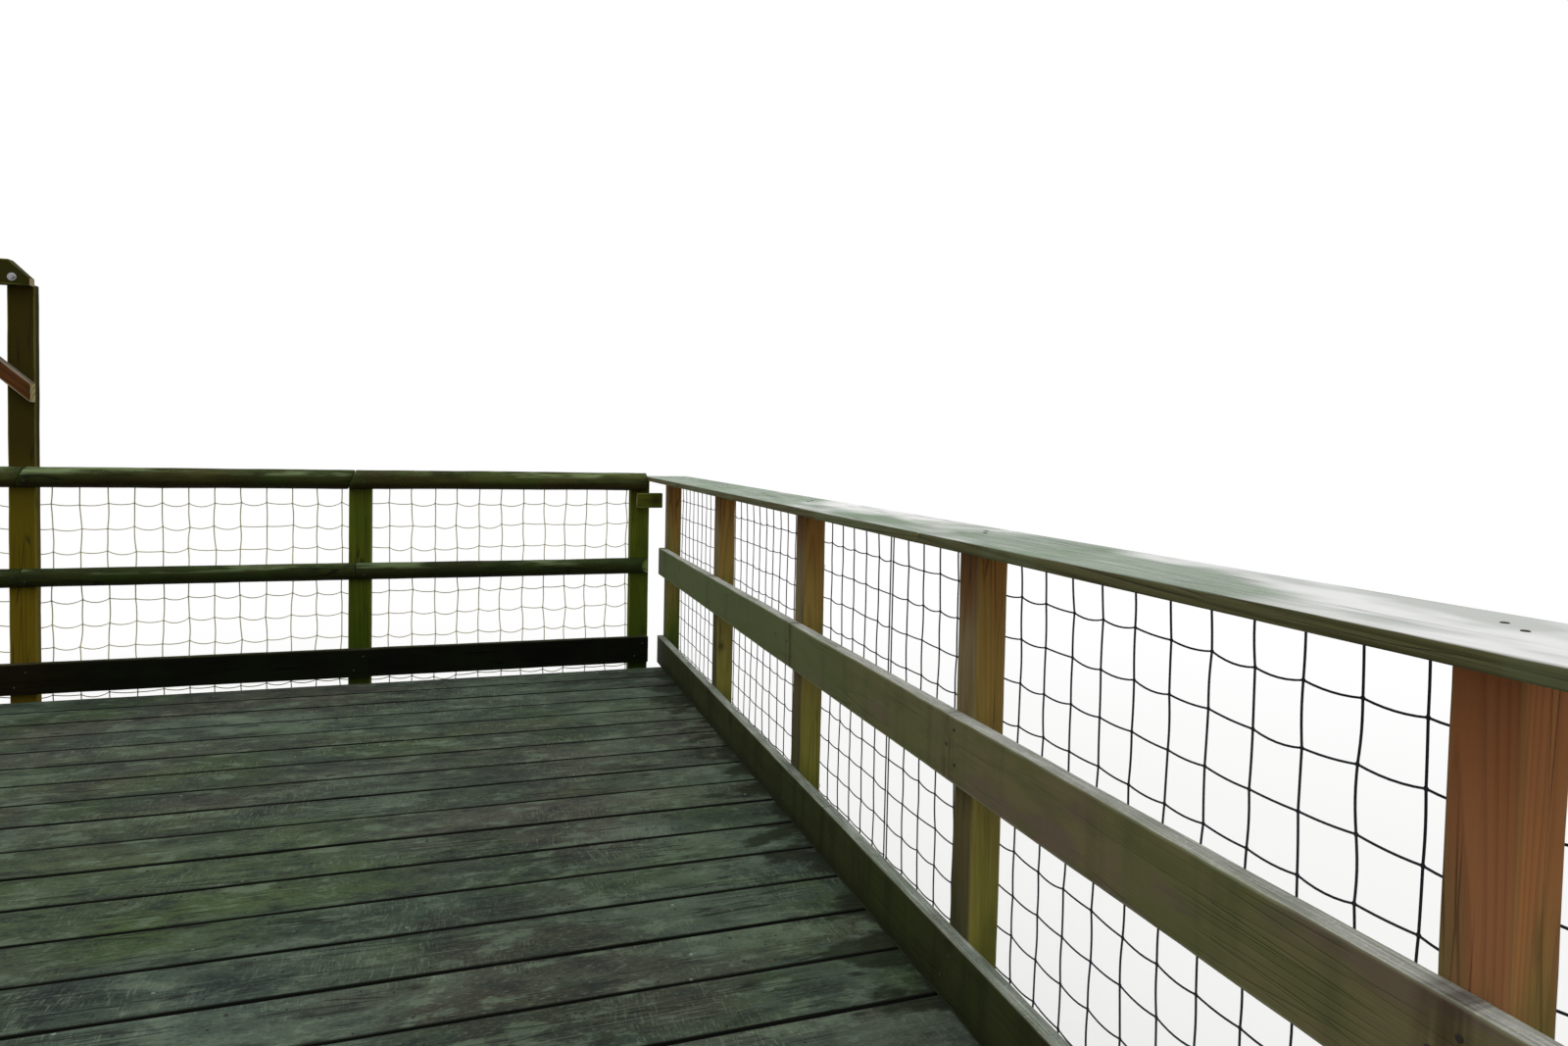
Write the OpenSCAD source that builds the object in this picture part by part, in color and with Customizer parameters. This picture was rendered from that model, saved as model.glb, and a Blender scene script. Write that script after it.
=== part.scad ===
// Raised timber deck of a tree house, with its guard railings, a back fence and the frame it stands on.
// Millimetres. The origin is on the ground under the middle of the deck, +Y points to the back fence.

/* [Deck] */
// Clear width of the deck between the toe boards of its two side railings
deck_w = 4820; // [4200:10:5600]
// Number of deck boards from the back to the front
board_n = 28; // [24:1:32]
// Width of a deck board
board_w = 206; // [180:1:230]
// Gap between two deck boards
board_gap = 12; // [6:1:18]
// Thickness of a deck board
board_t = 38; // [28:1:50]
// Height of the walking surface above the ground
deck_h = 2400; // [2100:10:3000]

/* [Guard posts] */
// Width of a side guard post, along its railing
side_post_w = 86; // [70:1:110]
// Thickness of a side guard post, outwards from the deck
side_post_t = 80; // [60:1:100]
// Width of a back fence post, along the fence
fence_post_w = 114; // [90:1:130]
// Depth of a back fence post, away from the deck
fence_post_d = 50; // [40:1:80]
// How far the guard posts reach down past the underside of the joists
post_tail = 25; // [0:1:60]
// From the front edge of the deck to the last side post
front_setback = 130; // [80:1:200]
// From a side toe board to the middle of the corner post of the back fence
corner_inset = 135; // [120:1:180]
// Height of the two tall posts above the deck
tall_post_h = 2040; // [1900:10:2300]

/* [Side railings] */
// Thickness of toe boards and side rails
rail_t = 38; // [25:1:50]
// Height of a side toe board
side_toe_h = 165; // [120:1:220]
// Underside of a side rail above the deck
side_mid_z = 539; // [450:1:620]
// Height of a side rail
side_mid_h = 161; // [120:1:200]
// Top of the flat handrail above the deck
handrail_z = 1136; // [1050:1:1250]
// Thickness of the handrail
handrail_t = 25; // [20:1:45]
// Width of the handrail
handrail_w = 265; // [225:1:300]
// How far the handrail reaches over the deck, from the toe board's face
handrail_in = 100; // [60:1:120]
// From the middle of the third side post to the joint in a side toe board
toe_joint_y = 375; // [200:5:600]

/* [Back fence] */
// Gap between the deck and the back toe board
back_toe_z = 33; // [15:1:60]
// Height of the back toe board
back_toe_h = 153; // [120:1:200]
// Middle of the half-round middle rail above the deck
back_mid_z = 606; // [500:1:700]
// Diameter of the half-round middle rail
back_mid_d = 94; // [70:1:110]
// Middle of the half-round top rail above the deck
back_top_z = 1103; // [1040:1:1200]
// Diameter of the half-round top rail
back_top_d = 105; // [80:1:120]
// Open joint between two lengths of rail
rail_joint = 3; // [1:1:6]
// From the middle of the middle post to the joint in the top rail
top_joint_x = 42; // [20:1:45]
// From the middle of the middle post to the joint in the middle rail
mid_joint_x = 20; // [0:1:40]
// Slant of a joint in the top rail, measured along the rail
scarf = 36; // [10:1:60]
// Height of the block at each corner of the fence
corner_block_h = 87; // [60:1:95]
// Length of the block at each corner of the fence
corner_block_l = 150; // [110:1:150]

/* [Head beam] */
// Depth of the beam across the two tall posts
head_beam_h = 120; // [90:1:160]
// Thickness of the head beam and its raking struts
head_beam_t = 60; // [45:1:80]
// How far the head beam rises above the tall posts
head_beam_rise = 110; // [80:1:115]
// Raked cut at each end of the head beam
head_beam_cut = 85; // [40:1:110]
// Top of a raking strut on its post, above the deck
strut_z = 1561; // [1450:1:1650]
// Height of a strut's plumb cut
strut_cut = 94; // [60:1:120]
// Angle of a strut from the level
strut_angle = 42; // [36:1:50]

/* [Frame under the deck] */
// Thickness of a joist
joist_t = 47; // [38:1:60]
// Height of a joist
joist_h = 175; // [150:1:225]
// Number of joists between the two rim joists
joist_n = 11; // [8:1:13]
// Thickness of a bearer
bearer_t = 75; // [60:1:90]
// Height of a bearer
bearer_h = 200; // [150:1:250]
// Raked cut under each end of a bearer
bearer_cut = 120; // [40:1:180]
// From the front and back edges of the deck to the outer bearers
bearer_inset = 600; // [400:10:900]
// Side of a square support post
support_w = 150; // [120:1:180]
// From a side toe board to the middle of the outer support posts
support_inset = 400; // [300:10:700]
// Reach of a knee brace along its post and its bearer
brace_reach = 500; // [350:10:600]
// Width of a knee brace
brace_w = 100; // [70:1:120]

/* [Nets] */
// Thickness of the cord of the nets
cord = 4; // [3:0.5:6]
// Size of a cell of the side nets
side_cell = 98; // [90:1:140]
// Size of a cell of the back net
back_cell = 120; // [100:1:150]
// Top of the nets above the deck
net_top = 1095; // [1000:5:1100]
// How far the nets hang below the deck's surface
net_drop = 120; // [60:5:200]

/* [Hidden] */
$fn = 48;

board_pitch = board_w + board_gap;
deck_l = board_n * board_pitch - board_gap;
back_reach = rail_t + side_post_w;
y_back = (deck_l - back_reach) / 2;
y_front = y_back - deck_l;
half_w = deck_w / 2;
edge_x = half_w + rail_t;
joist_top = deck_h - board_t;
joist_bottom = joist_top - joist_h;
bearer_bottom = joist_bottom - bearer_h;
post_bottom = joist_bottom - post_tail;

fence_y = y_back + rail_t;
fence_back = fence_y + fence_post_d;
fence_bays = 3;
fence_bay = (deck_w - 2 * corner_inset) / fence_bays;
corner_x = half_w - corner_inset;
rail_end_x = corner_x + fence_post_w / 2;
handrail_bottom = handrail_z - handrail_t;
block_end_gap = 5;
block_drop = 13;

side_bays = 5;
first_post_y = fence_y + side_post_w / 2;
last_post_y = y_front + front_setback + side_post_w / 2;
side_bay = (first_post_y - last_post_y) / side_bays;
rail_back_y = first_post_y + side_post_w / 2;
rail_front_y = last_post_y - side_post_w / 2;
post_out_x = edge_x + side_post_t;

bearer_y = [y_front + bearer_inset, (y_front + y_back) / 2, y_back - bearer_inset];
support_x = half_w - support_inset;

weathered_deck = [0.27, 0.29, 0.25];
weathered_rail = [0.42, 0.42, 0.36];
grey_top = [0.55, 0.56, 0.53];
red_post = [0.52, 0.36, 0.20];
olive_post = [0.36, 0.33, 0.16];
pole_brown = [0.24, 0.21, 0.14];
dark_board = [0.14, 0.13, 0.10];
frame_wood = [0.38, 0.33, 0.24];
net_black = [0.10, 0.10, 0.10];
net_cream = [0.72, 0.68, 0.56];

// A straight piece of timber between two corners.
module timber(low, high) {
    translate(low) cube(high - low);
}

// A flat shape drawn in X and Z, given a thickness along Y from y0 to y1.
module plate_xz(y0, y1) {
    translate([0, y1, 0]) rotate([90, 0, 0]) linear_extrude(y1 - y0) children();
}

// A half-round rail along X, flat against the fence posts at the back.
module half_round(x0, x1, z, d) {
    translate([x0, fence_y, z]) rotate([90, 0, 90]) linear_extrude(x1 - x0) intersection() {
        circle(d = d);
        translate([-d, -d / 2]) square([d, d]);
    }
}

// A net drawn flat: a sheet of w by h with a hole in every cell.
module lattice(w, h, cell) {
    columns = round((w - cord) / cell);
    rows = round((h - cord) / cell);
    hole_w = (w - cord) / columns - cord;
    hole_h = (h - cord) / rows - cord;
    difference() {
        square([w, h]);
        for (i = [0 : columns - 1], j = [0 : rows - 1])
            translate([cord + i * (hole_w + cord), cord + j * (hole_h + cord)]) square([hole_w, hole_h]);
    }
}

// A support post, notched at its top so that the bearer sits on a shoulder against its back half.
module support_post(x, y) {
    translate([x, y, 0]) difference() {
        timber([-support_w / 2, -support_w / 2, 0], [support_w / 2, support_w / 2, joist_bottom]);
        timber([-support_w, -support_w, bearer_bottom],
            [support_w, bearer_t - support_w / 2, joist_bottom + 1]);
    }
}

module support_row(y) {
    color(frame_wood) for (x = [-support_x, 0, support_x]) support_post(x, y);
}

// A bearer with its two ends cut back underneath.
module bearer(y) {
    y0 = y - support_w / 2;
    color(frame_wood) plate_xz(y0, y0 + bearer_t) polygon([
        [-edge_x, joist_bottom], [edge_x, joist_bottom],
        [edge_x, bearer_bottom + bearer_h / 2], [edge_x - bearer_cut, bearer_bottom],
        [bearer_cut - edge_x, bearer_bottom], [-edge_x, bearer_bottom + bearer_h / 2]
    ]);
}

// A brace at 45 degrees from a post's side, which faces dir, up to the underside of its bearer.
module knee_brace(x, y, dir) {
    run = brace_w * sqrt(2);
    foot = x + dir * support_w / 2;
    y0 = y - support_w / 2;
    plate_xz(y0, y0 + bearer_t) polygon([
        [foot, bearer_bottom - brace_reach], [foot, bearer_bottom - brace_reach - run],
        [foot + dir * (brace_reach + run), bearer_bottom], [foot + dir * brace_reach, bearer_bottom]
    ]);
}

module knee_braces() {
    color(frame_wood) for (y = bearer_y) {
        knee_brace(-support_x, y, 1);
        knee_brace(0, y, -1);
        knee_brace(0, y, 1);
        knee_brace(support_x, y, -1);
    }
}

// The rim joist on the right. It runs on past the deck boards to carry the first guard post.
module rim_joist() {
    color(frame_wood) timber([edge_x - joist_t, y_front, joist_bottom], [edge_x, rail_back_y, joist_top]);
}

// A header joist across the ends of the joists, between the rim joists.
module header_joist(y0) {
    color(frame_wood) timber([joist_t - edge_x, y0, joist_bottom], [edge_x - joist_t, y0 + joist_t, joist_top]);
}

module joists() {
    inner = edge_x - joist_t;
    step = 2 * inner / (joist_n + 1);
    color(frame_wood) for (i = [1 : joist_n])
        translate([i * step - inner, 0, 0])
            timber([-joist_t / 2, y_front + joist_t, joist_bottom], [joist_t / 2, fence_y - joist_t, joist_top]);
}

module deck_boards() {
    color(weathered_deck) for (i = [0 : board_n - 1]) {
        y1 = y_back - i * board_pitch;
        timber([-edge_x, y1 - board_w, joist_top], [edge_x, y1, deck_h]);
    }
}

// The middle of side post i, counted from the back fence.
function post_y(i) = first_post_y - (i - 1) * side_bay;

// Guard post number i of the right side.
module side_post(i) {
    y = post_y(i);
    color(red_post) timber([edge_x, y - side_post_w / 2, post_bottom],
        [post_out_x, y + side_post_w / 2, deck_h + handrail_bottom]);
}

// Two lengths of one board along the side railing, with the joint between them at joint_y.
module two_lengths(x, z, w, h, joint_y) {
    half_gap = rail_joint / 2;
    timber([x, rail_front_y, deck_h + z], [x + w, joint_y - half_gap, deck_h + z + h]);
    timber([x, joint_y + half_gap, deck_h + z], [x + w, rail_back_y, deck_h + z + h]);
}

// The flat handrail, jointed over the fourth post.
module handrail() {
    color(grey_top) two_lengths(half_w - handrail_in, handrail_bottom, handrail_w, handrail_t, post_y(4));
}

module side_rail() {
    color(weathered_rail) timber([half_w, rail_front_y, deck_h + side_mid_z],
        [edge_x, rail_back_y, deck_h + side_mid_z + side_mid_h]);
}

// The side toe board, jointed between the third and the fourth post.
module side_toe_board() {
    color(weathered_rail) two_lengths(half_w, 0, rail_t, side_toe_h, post_y(3) - toe_joint_y);
}

// Half of a side net, fixed to the outer faces of the posts: part 0 at the front, part 1 at the back.
module side_net(part) {
    length = (rail_back_y - rail_front_y - cord) / 2;
    color(net_black) translate([post_out_x, rail_front_y + part * (length + cord), deck_h - net_drop])
        rotate([90, 0, 90]) linear_extrude(cord) lattice(length, net_top + net_drop, side_cell);
}

// Post number i of the back fence, counted from the right corner, with its top at height top.
module fence_post(i, top) {
    x = corner_x - i * fence_bay;
    color(olive_post) timber([x - fence_post_w / 2, fence_y, post_bottom],
        [x + fence_post_w / 2, fence_back, deck_h + top]);
}

// Where length i of a back rail ends on its left, counted from the right. The first joint lies off_x to the left
// of the middle post's middle, the second one at the middle of the tall post.
function joint_x(i, off_x) = corner_x - (i + 1) * fence_bay - (i == 0 ? off_x : 0);

// One length of the top rail. Its joints slant, and the two ends of the fence are cut square.
module top_rail(i) {
    gap = rail_joint / 2;
    right_end = half_w - handrail_in;
    low = back_top_z - back_top_d;
    high = back_top_z + back_top_d;
    x0 = i == fence_bays - 1 ? -right_end : joint_x(i, top_joint_x) + gap;
    x1 = i == 0 ? right_end : joint_x(i - 1, top_joint_x) - gap;
    lean0 = i == fence_bays - 1 ? 0 : scarf;
    lean1 = i == 0 ? 0 : scarf;
    color(pole_brown) intersection() {
        half_round(-half_w, half_w, deck_h + back_top_z, back_top_d);
        plate_xz(fence_y - back_top_d, fence_y + 1) polygon([
            [x0 - lean0, deck_h + low], [x1 - lean1, deck_h + low],
            [x1 + lean1, deck_h + high], [x0 + lean0, deck_h + high]
        ]);
    }
}

// One length of the middle rail. The ends of the fence are cut at a slant that faces the deck.
module mid_rail(i) {
    gap = rail_joint / 2;
    x0 = i == fence_bays - 1 ? -rail_end_x : joint_x(i, mid_joint_x) + gap;
    x1 = i == 0 ? rail_end_x : joint_x(i - 1, mid_joint_x) - gap;
    cut0 = i == fence_bays - 1 ? back_mid_d : 0;
    cut1 = i == 0 ? back_mid_d : 0;
    color(pole_brown) intersection() {
        half_round(x0, x1, deck_h + back_mid_z, back_mid_d);
        translate([0, 0, deck_h + back_mid_z - back_mid_d]) linear_extrude(2 * back_mid_d) polygon([
            [x0, fence_y], [x0 + cut0, fence_y - back_mid_d],
            [x1 - cut1, fence_y - back_mid_d], [x1, fence_y]
        ]);
    }
}

module back_toe_board() {
    color(dark_board) timber([-rail_end_x, y_back, deck_h + back_toe_z],
        [rail_end_x, fence_y, deck_h + back_toe_z + back_toe_h]);
}

module back_net() {
    color(net_cream) translate([-rail_end_x, fence_back + cord, deck_h - net_drop]) rotate([90, 0, 0])
        linear_extrude(cord) lattice(2 * rail_end_x, net_top + net_drop, back_cell);
}

// A short block under each end of the top rail, on the front of the corner post.
module corner_blocks() {
    top = deck_h + back_top_z - back_top_d / 2 - block_drop;
    x1 = half_w - block_end_gap;
    color(olive_post) for (side = [0, 1]) mirror([side, 0, 0])
        timber([x1 - corner_block_l, y_back, top - corner_block_h], [x1, fence_y, top]);
}

// The middle of the left corner post and of the tall post, which carry the head beam.
tall_x = corner_x - 2 * fence_bay;
left_x = -corner_x;
beam_top = deck_h + tall_post_h + head_beam_rise;
beam_bottom = beam_top - head_beam_h;

module head_beam() {
    x0 = left_x - fence_post_w / 2;
    x1 = tall_x + fence_post_w / 2;
    color(olive_post) plate_xz(fence_y - head_beam_t, fence_y) polygon([
        [x0, beam_bottom], [x1, beam_bottom], [x1, beam_top - head_beam_cut],
        [x1 - head_beam_cut, beam_top], [x0 + head_beam_cut, beam_top], [x0, beam_top - head_beam_cut]
    ]);
}

// A strut from the outer edge of a tall post at x, rising in direction dir to the head beam.
module head_beam_strut(x, dir) {
    high = deck_h + strut_z;
    low = high - strut_cut;
    color(red_post) plate_xz(fence_y - head_beam_t, fence_y) polygon([
        [x, low], [x + dir * (beam_bottom - low) / tan(strut_angle), beam_bottom],
        [x + dir * (beam_bottom - high) / tan(strut_angle), beam_bottom], [x, high]
    ]);
}

module head_beam_struts() {
    head_beam_strut(tall_x + fence_post_w / 2, -1);
    head_beam_strut(left_x - fence_post_w / 2, 1);
}

module left() {
    mirror([1, 0, 0]) children();
}

module left_posts() {
    left() for (i = [1 : side_bays + 1]) side_post(i);
}

support_row(bearer_y[0]);  // support_posts_front
support_row(bearer_y[1]);  // support_posts_middle
support_row(bearer_y[2]);  // support_posts_back
bearer(bearer_y[0]);  // bearer_front
bearer(bearer_y[1]);  // bearer_middle
bearer(bearer_y[2]);  // bearer_back
knee_braces();
left() rim_joist();  // rim_joist_left
rim_joist();  // rim_joist_right
header_joist(y_front);  // header_joist_front
header_joist(fence_y - joist_t);  // header_joist_back
joists();
deck_boards();
side_post(1);  // right_post_1
side_post(2);  // right_post_2
side_post(3);  // right_post_3
side_post(4);  // right_post_4
side_post(5);  // right_post_5
side_post(6);  // right_post_6
handrail();  // right_handrail
side_rail();  // right_side_rail
side_toe_board();  // right_toe_board
side_net(1);  // right_mesh_back
side_net(0);  // right_mesh_front
left_posts();
left() handrail();  // left_handrail
left() side_rail();  // left_side_rail
left() side_toe_board();  // left_toe_board
left() side_net(1);  // left_mesh_back
left() side_net(0);  // left_mesh_front
fence_post(0, handrail_bottom);  // back_corner_post
fence_post(1, handrail_bottom);  // back_middle_post
fence_post(2, tall_post_h);  // back_tall_post
fence_post(3, tall_post_h);  // left_tall_post
top_rail(0);  // back_top_rail_right
top_rail(1);  // back_top_rail_middle
top_rail(2);  // back_top_rail_left
mid_rail(0);  // back_mid_rail_right
mid_rail(1);  // back_mid_rail_middle
mid_rail(2);  // back_mid_rail_left
back_toe_board();
back_net();
corner_blocks();
head_beam();
head_beam_struts();
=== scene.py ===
"""Looks of a raised timber deck: plank floor, side railings with a flat handrail and dark cord netting, a
back fence of half-round rails with a pale net, and the post frame under it. Metres, ground at z = 0, +Y
towards the back fence."""

import math

import bpy
import numpy as np
from mathutils import Matrix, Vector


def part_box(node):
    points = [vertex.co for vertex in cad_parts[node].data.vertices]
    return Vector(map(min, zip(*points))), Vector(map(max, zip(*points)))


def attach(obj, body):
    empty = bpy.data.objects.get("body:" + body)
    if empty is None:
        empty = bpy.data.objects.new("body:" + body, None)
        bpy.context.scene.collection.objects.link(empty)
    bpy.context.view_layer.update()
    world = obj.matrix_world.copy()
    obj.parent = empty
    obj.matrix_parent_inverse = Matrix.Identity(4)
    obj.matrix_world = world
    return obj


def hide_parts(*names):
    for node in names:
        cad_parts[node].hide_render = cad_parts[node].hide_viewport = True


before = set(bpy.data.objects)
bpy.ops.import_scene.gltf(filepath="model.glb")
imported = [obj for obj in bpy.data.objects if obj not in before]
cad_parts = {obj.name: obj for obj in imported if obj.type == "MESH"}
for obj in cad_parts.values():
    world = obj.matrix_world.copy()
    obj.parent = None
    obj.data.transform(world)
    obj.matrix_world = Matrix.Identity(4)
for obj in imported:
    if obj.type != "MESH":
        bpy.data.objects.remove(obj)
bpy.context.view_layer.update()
scene = bpy.context.scene

X = np.array([1.0, 0.0, 0.0])
Y = np.array([0.0, 1.0, 0.0])
Z = np.array([0.0, 0.0, 1.0])

# Camera

PICTURE_WIDTH = 1600.0
PICTURE_HEIGHT = 1067.0
SENSOR_WIDTH = 36.0
FOCAL_PIXELS = 954.4603
CAMERA_YAW = math.radians(18.6138)
CAMERA_PITCH = math.radians(2.0155)
CAMERA_ROLL = math.radians(1.2)
CAMERA_PLACE = (1.3152, -2.5012, 3.730)
MIDDLE_ROW = 489.0594


def make_camera():
    """A level look turned right by the yaw, tipped down by the pitch and rolled, written straight as a
    rotation. The lens looks straight ahead at MIDDLE_ROW, a little above the picture's middle."""
    yaw, pitch, roll = CAMERA_YAW, CAMERA_PITCH, CAMERA_ROLL
    ahead = np.array([math.sin(yaw) * math.cos(pitch), math.cos(yaw) * math.cos(pitch), -math.sin(pitch)])
    level = np.array([math.cos(yaw), -math.sin(yaw), 0.0])
    upright = np.cross(level, ahead)
    data = bpy.data.cameras.new("camera")
    data.sensor_fit = "HORIZONTAL"
    data.sensor_width = SENSOR_WIDTH
    data.lens = FOCAL_PIXELS * SENSOR_WIDTH / PICTURE_WIDTH
    data.shift_y = (MIDDLE_ROW - PICTURE_HEIGHT / 2) / PICTURE_WIDTH
    data.clip_start = 0.05
    data.clip_end = 300.0
    camera = bpy.data.objects.new("camera", data)
    scene.collection.objects.link(camera)
    turn = np.eye(4)
    turn[:3, 0] = level * math.cos(roll) + upright * math.sin(roll)
    turn[:3, 1] = -level * math.sin(roll) + upright * math.cos(roll)
    turn[:3, 2] = -ahead
    turn[:3, 3] = CAMERA_PLACE
    camera.matrix_world = Matrix(turn.tolist())
    scene.camera = camera


make_camera()

# Shader building words


class Wire:
    """An output socket to reckon with: + - * and / each add a math node to the socket's own tree."""

    def __init__(self, socket):
        self.socket = socket
        self.tree = socket.id_data

    def __add__(self, other):
        return calc("ADD", self, other)

    def __radd__(self, other):
        return calc("ADD", other, self)

    def __sub__(self, other):
        return calc("SUBTRACT", self, other)

    def __rsub__(self, other):
        return calc("SUBTRACT", other, self)

    def __mul__(self, other):
        return calc("MULTIPLY", self, other)

    def __truediv__(self, other):
        return calc("DIVIDE", self, other)


class Values:
    """Named values, read as attributes."""

    def __init__(self, **values):
        vars(self).update(values)


def add(tree, kind, inputs=None, **settings):
    """The outputs, by number and by name, of one new node with its settings. An input is a wire or a plain
    value."""
    node = tree.nodes.new(kind)
    for key, value in settings.items():
        setattr(node, key, value)
    for key, value in (inputs or {}).items():
        socket = node.inputs[key]
        if isinstance(value, Wire):
            tree.links.new(value.socket, socket)
        else:
            socket.default_value = value
    wires = {}
    for number, socket in enumerate(node.outputs):
        wires[number] = Wire(socket)
        wires.setdefault(socket.name, wires[number])
    return wires


def tree_of(values):
    """The tree of the first wire among the values."""
    return next(value.tree for value in values if isinstance(value, Wire))


def calc(operation, *values, clamp=False):
    """The output of a math node on one to three values."""
    keys = dict(enumerate(values))
    return add(tree_of(values), "ShaderNodeMath", keys, operation=operation, use_clamp=clamp)[0]


def step(value, low, high):
    """0 below low, 1 above high, and a smooth rise between."""
    keys = {"Value": value, "From Min": low, "From Max": high, "To Min": 0.0, "To Max": 1.0}
    return add(value.tree, "ShaderNodeMapRange", keys, interpolation_type="SMOOTHSTEP")[0]


def srgb(red, green, blue):
    """A colour from its 0 to 255 parts, as the linear colour that a shader takes."""
    part = np.array([red, green, blue]) / 255.0
    part = np.where(part <= 0.04045, part / 12.92, ((part + 0.055) / 1.055) ** 2.4)
    return (float(part[0]), float(part[1]), float(part[2]), 1.0)


def mix(amount, first, second, mode="MIX"):
    """Colour first where the amount is 0 and second where it is 1. A colour is a wire or its 0 to 255
    parts."""
    first, second = (tone if isinstance(tone, Wire) else srgb(*tone) for tone in (first, second))
    keys = {0: amount, 6: first, 7: second}
    return add(tree_of(keys.values()), "ShaderNodeMix", keys, data_type="RGBA", blend_type=mode)[2]


class Coats(Values):
    """A timber's colour and height so far, and the wires that its own layer may read."""

    def coat(self, mask, tone):
        """Puts the tone over the colour where the mask is 1."""
        self.colour = mix(mask, self.colour, tone)

    def daub(self, mask, *coats):
        """Puts on coats of (from, to, amount, tone), each by its amount as the mask passes between its two
        numbers."""
        for low, high, amount, tone in coats:
            self.coat(step(mask, low, high) * amount, tone)


def arrow(operation, *values):
    """The vector that a vector math node makes of the values."""
    return add(values[0].tree, "ShaderNodeVectorMath", dict(enumerate(values)), operation=operation)[0]


def stretch(vector, scale):
    """The vector with its three parts multiplied by scale."""
    return arrow("MULTIPLY", vector, scale)


def reach_of(vector):
    """The length of the vector."""
    return add(vector.tree, "ShaderNodeVectorMath", {0: vector}, operation="LENGTH")["Value"]


def parts_of(vector):
    """The three numbers of the vector."""
    return add(vector.tree, "ShaderNodeSeparateXYZ", {0: vector})


def noise(vector, scale, detail=2.0, rough=0.5, output="Fac"):
    """Noise between 0 and 1 on the vector times the scale, which is one number or three."""
    if isinstance(scale, tuple):
        vector, scale = stretch(vector, scale), 1.0
    keys = {"Vector": vector, "Scale": scale, "Detail": detail, "Roughness": rough}
    return add(vector.tree, "ShaderNodeTexNoise", keys)[output]


def smear(vector, scale, low, high):
    """Noise on the vector times the scale, as a mask between low and high."""
    return step(noise(vector, scale, 3.0, 0.6), low, high)


def off_nearest(value, pitch):
    """How far the value lies from the nearest whole number of pitches."""
    turns = value / pitch
    return (turns - calc("ROUND", turns)) * pitch


def new_group(name, inputs, outputs):
    """An empty shader node group with those sockets, numbers all but Wood and Place: its tree, its inputs
    as wires and its output node."""
    tree = bpy.data.node_groups.new(name, "ShaderNodeTree")
    for way, labels in (("INPUT", inputs), ("OUTPUT", outputs)):
        for label in labels.split():
            kind = "NodeSocketVector" if label in ("Wood", "Place") else "NodeSocketFloat"
            tree.interface.new_socket(label, in_out=way, socket_type=kind)
    return tree, add(tree, "NodeGroupInput"), tree.nodes.new("NodeGroupOutput")


def close_group(tree, result, **outputs):
    """The group's tree with the wires led to its outputs."""
    for label, wire in outputs.items():
        tree.links.new(wire.socket, result.inputs[label])
    return tree


def use(group, **inputs):
    """The outputs of the group, placed in the wires' tree with these inputs."""
    return add(tree_of(inputs.values()), "ShaderNodeGroup", inputs, node_tree=group)


def grain_group():
    """Year rings as distance from the tree's middle over the ring's width, with fine fibres, broad streaks
    and splits along the timber, and saw marks across it."""
    tree, given, result = new_group("grain", "Wood Ring", "Rings Fibre Streak Split Saw")
    wood = given["Wood"]
    drift = arrow("SUBTRACT", noise(wood, (0.9, 8.0, 8.0), output="Color"), (0.5, 0.5, 0.5))
    bent = arrow("ADD", wood, stretch(drift, (0.0, 0.022, 0.022)))
    phase = calc("FRACT", reach_of(stretch(bent, (0.012, 1.0, 1.0))) / given["Ring"])
    late = step(phase, 0.35, 0.9) * (1.0 - step(phase, 0.92, 1.0))
    fibre = noise(bent, (7.0, 330.0, 330.0), 3.0, 0.6)
    streak = noise(bent, (1.3, 26.0, 26.0), 4.0, 0.6)
    keys = {"Vector": stretch(bent, (1.7, 44.0, 44.0)), "Scale": 1.0}
    cells = add(tree, "ShaderNodeTexVoronoi", keys, feature="DISTANCE_TO_EDGE")["Distance"]
    sparse = noise(wood, (2.2, 12.0, 12.0), 1.0)
    split = (1.0 - step(cells, 0.012, 0.05)) * step(sparse, 0.5, 0.62)
    saw = noise(wood, (150.0, 9.0, 9.0), 1.0)
    return close_group(tree, result, Rings=late, Fibre=fibre, Streak=streak, Split=split, Saw=saw)


KNOT_CELL = (0.34, 0.085)


def knot_group():
    """Round knots scattered over the faces: one may sit in each cell of a length by a width, kept where the
    cell's draw is below the share. Core is the knot, Halo the darker wood round it, and Whorl the rings
    that bend round it."""
    tree, given, result = new_group("knots", "Wood Share Size", "Core Halo Whorl")
    parts = parts_of(given["Wood"])
    across = parts[1] + parts[2] * 0.83
    wobble = noise(given["Wood"], 38.0, 1.0)
    keys = {0: parts[0] / KNOT_CELL[0], 1: across / KNOT_CELL[1], 2: 0.0}
    place = add(tree, "ShaderNodeCombineXYZ", keys)[0]
    keys = {"Vector": place, "Scale": 1.0, "Randomness": 0.85}
    near = add(tree, "ShaderNodeTexVoronoi", keys, voronoi_dimensions="2D")
    gap = stretch(arrow("SUBTRACT", place, near["Position"]), (KNOT_CELL[0] * 0.8, KNOT_CELL[1], 0.0))
    far = reach_of(gap)
    draw = add(tree, "ShaderNodeSeparateColor", {0: near["Color"]})
    size = given["Size"] * (0.45 + draw[1])
    kept = calc("LESS_THAN", draw[0], given["Share"])
    ratio = far / size + (wobble - 0.5) * 0.5
    core = kept * (1.0 - step(ratio, 0.75, 1.05))
    halo = kept * (1.0 - step(ratio, 0.9, 2.6))
    return close_group(tree, result, Core=core, Halo=halo, Whorl=halo * calc("SINE", ratio * 13.0))


def patch_group():
    """Irregular patches in the open, from a coarse noise broken up by a finer one. Cover is the share they
    take."""
    tree, given, result = new_group("patches", "Place Scale Cover", "Mask")
    coarse = noise(given["Place"], given["Scale"], 5.0, 0.62)
    level = 0.72 - given["Cover"] * 0.42
    return close_group(tree, result, Mask=step(coarse, level - 0.07, level + 0.09))


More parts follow.
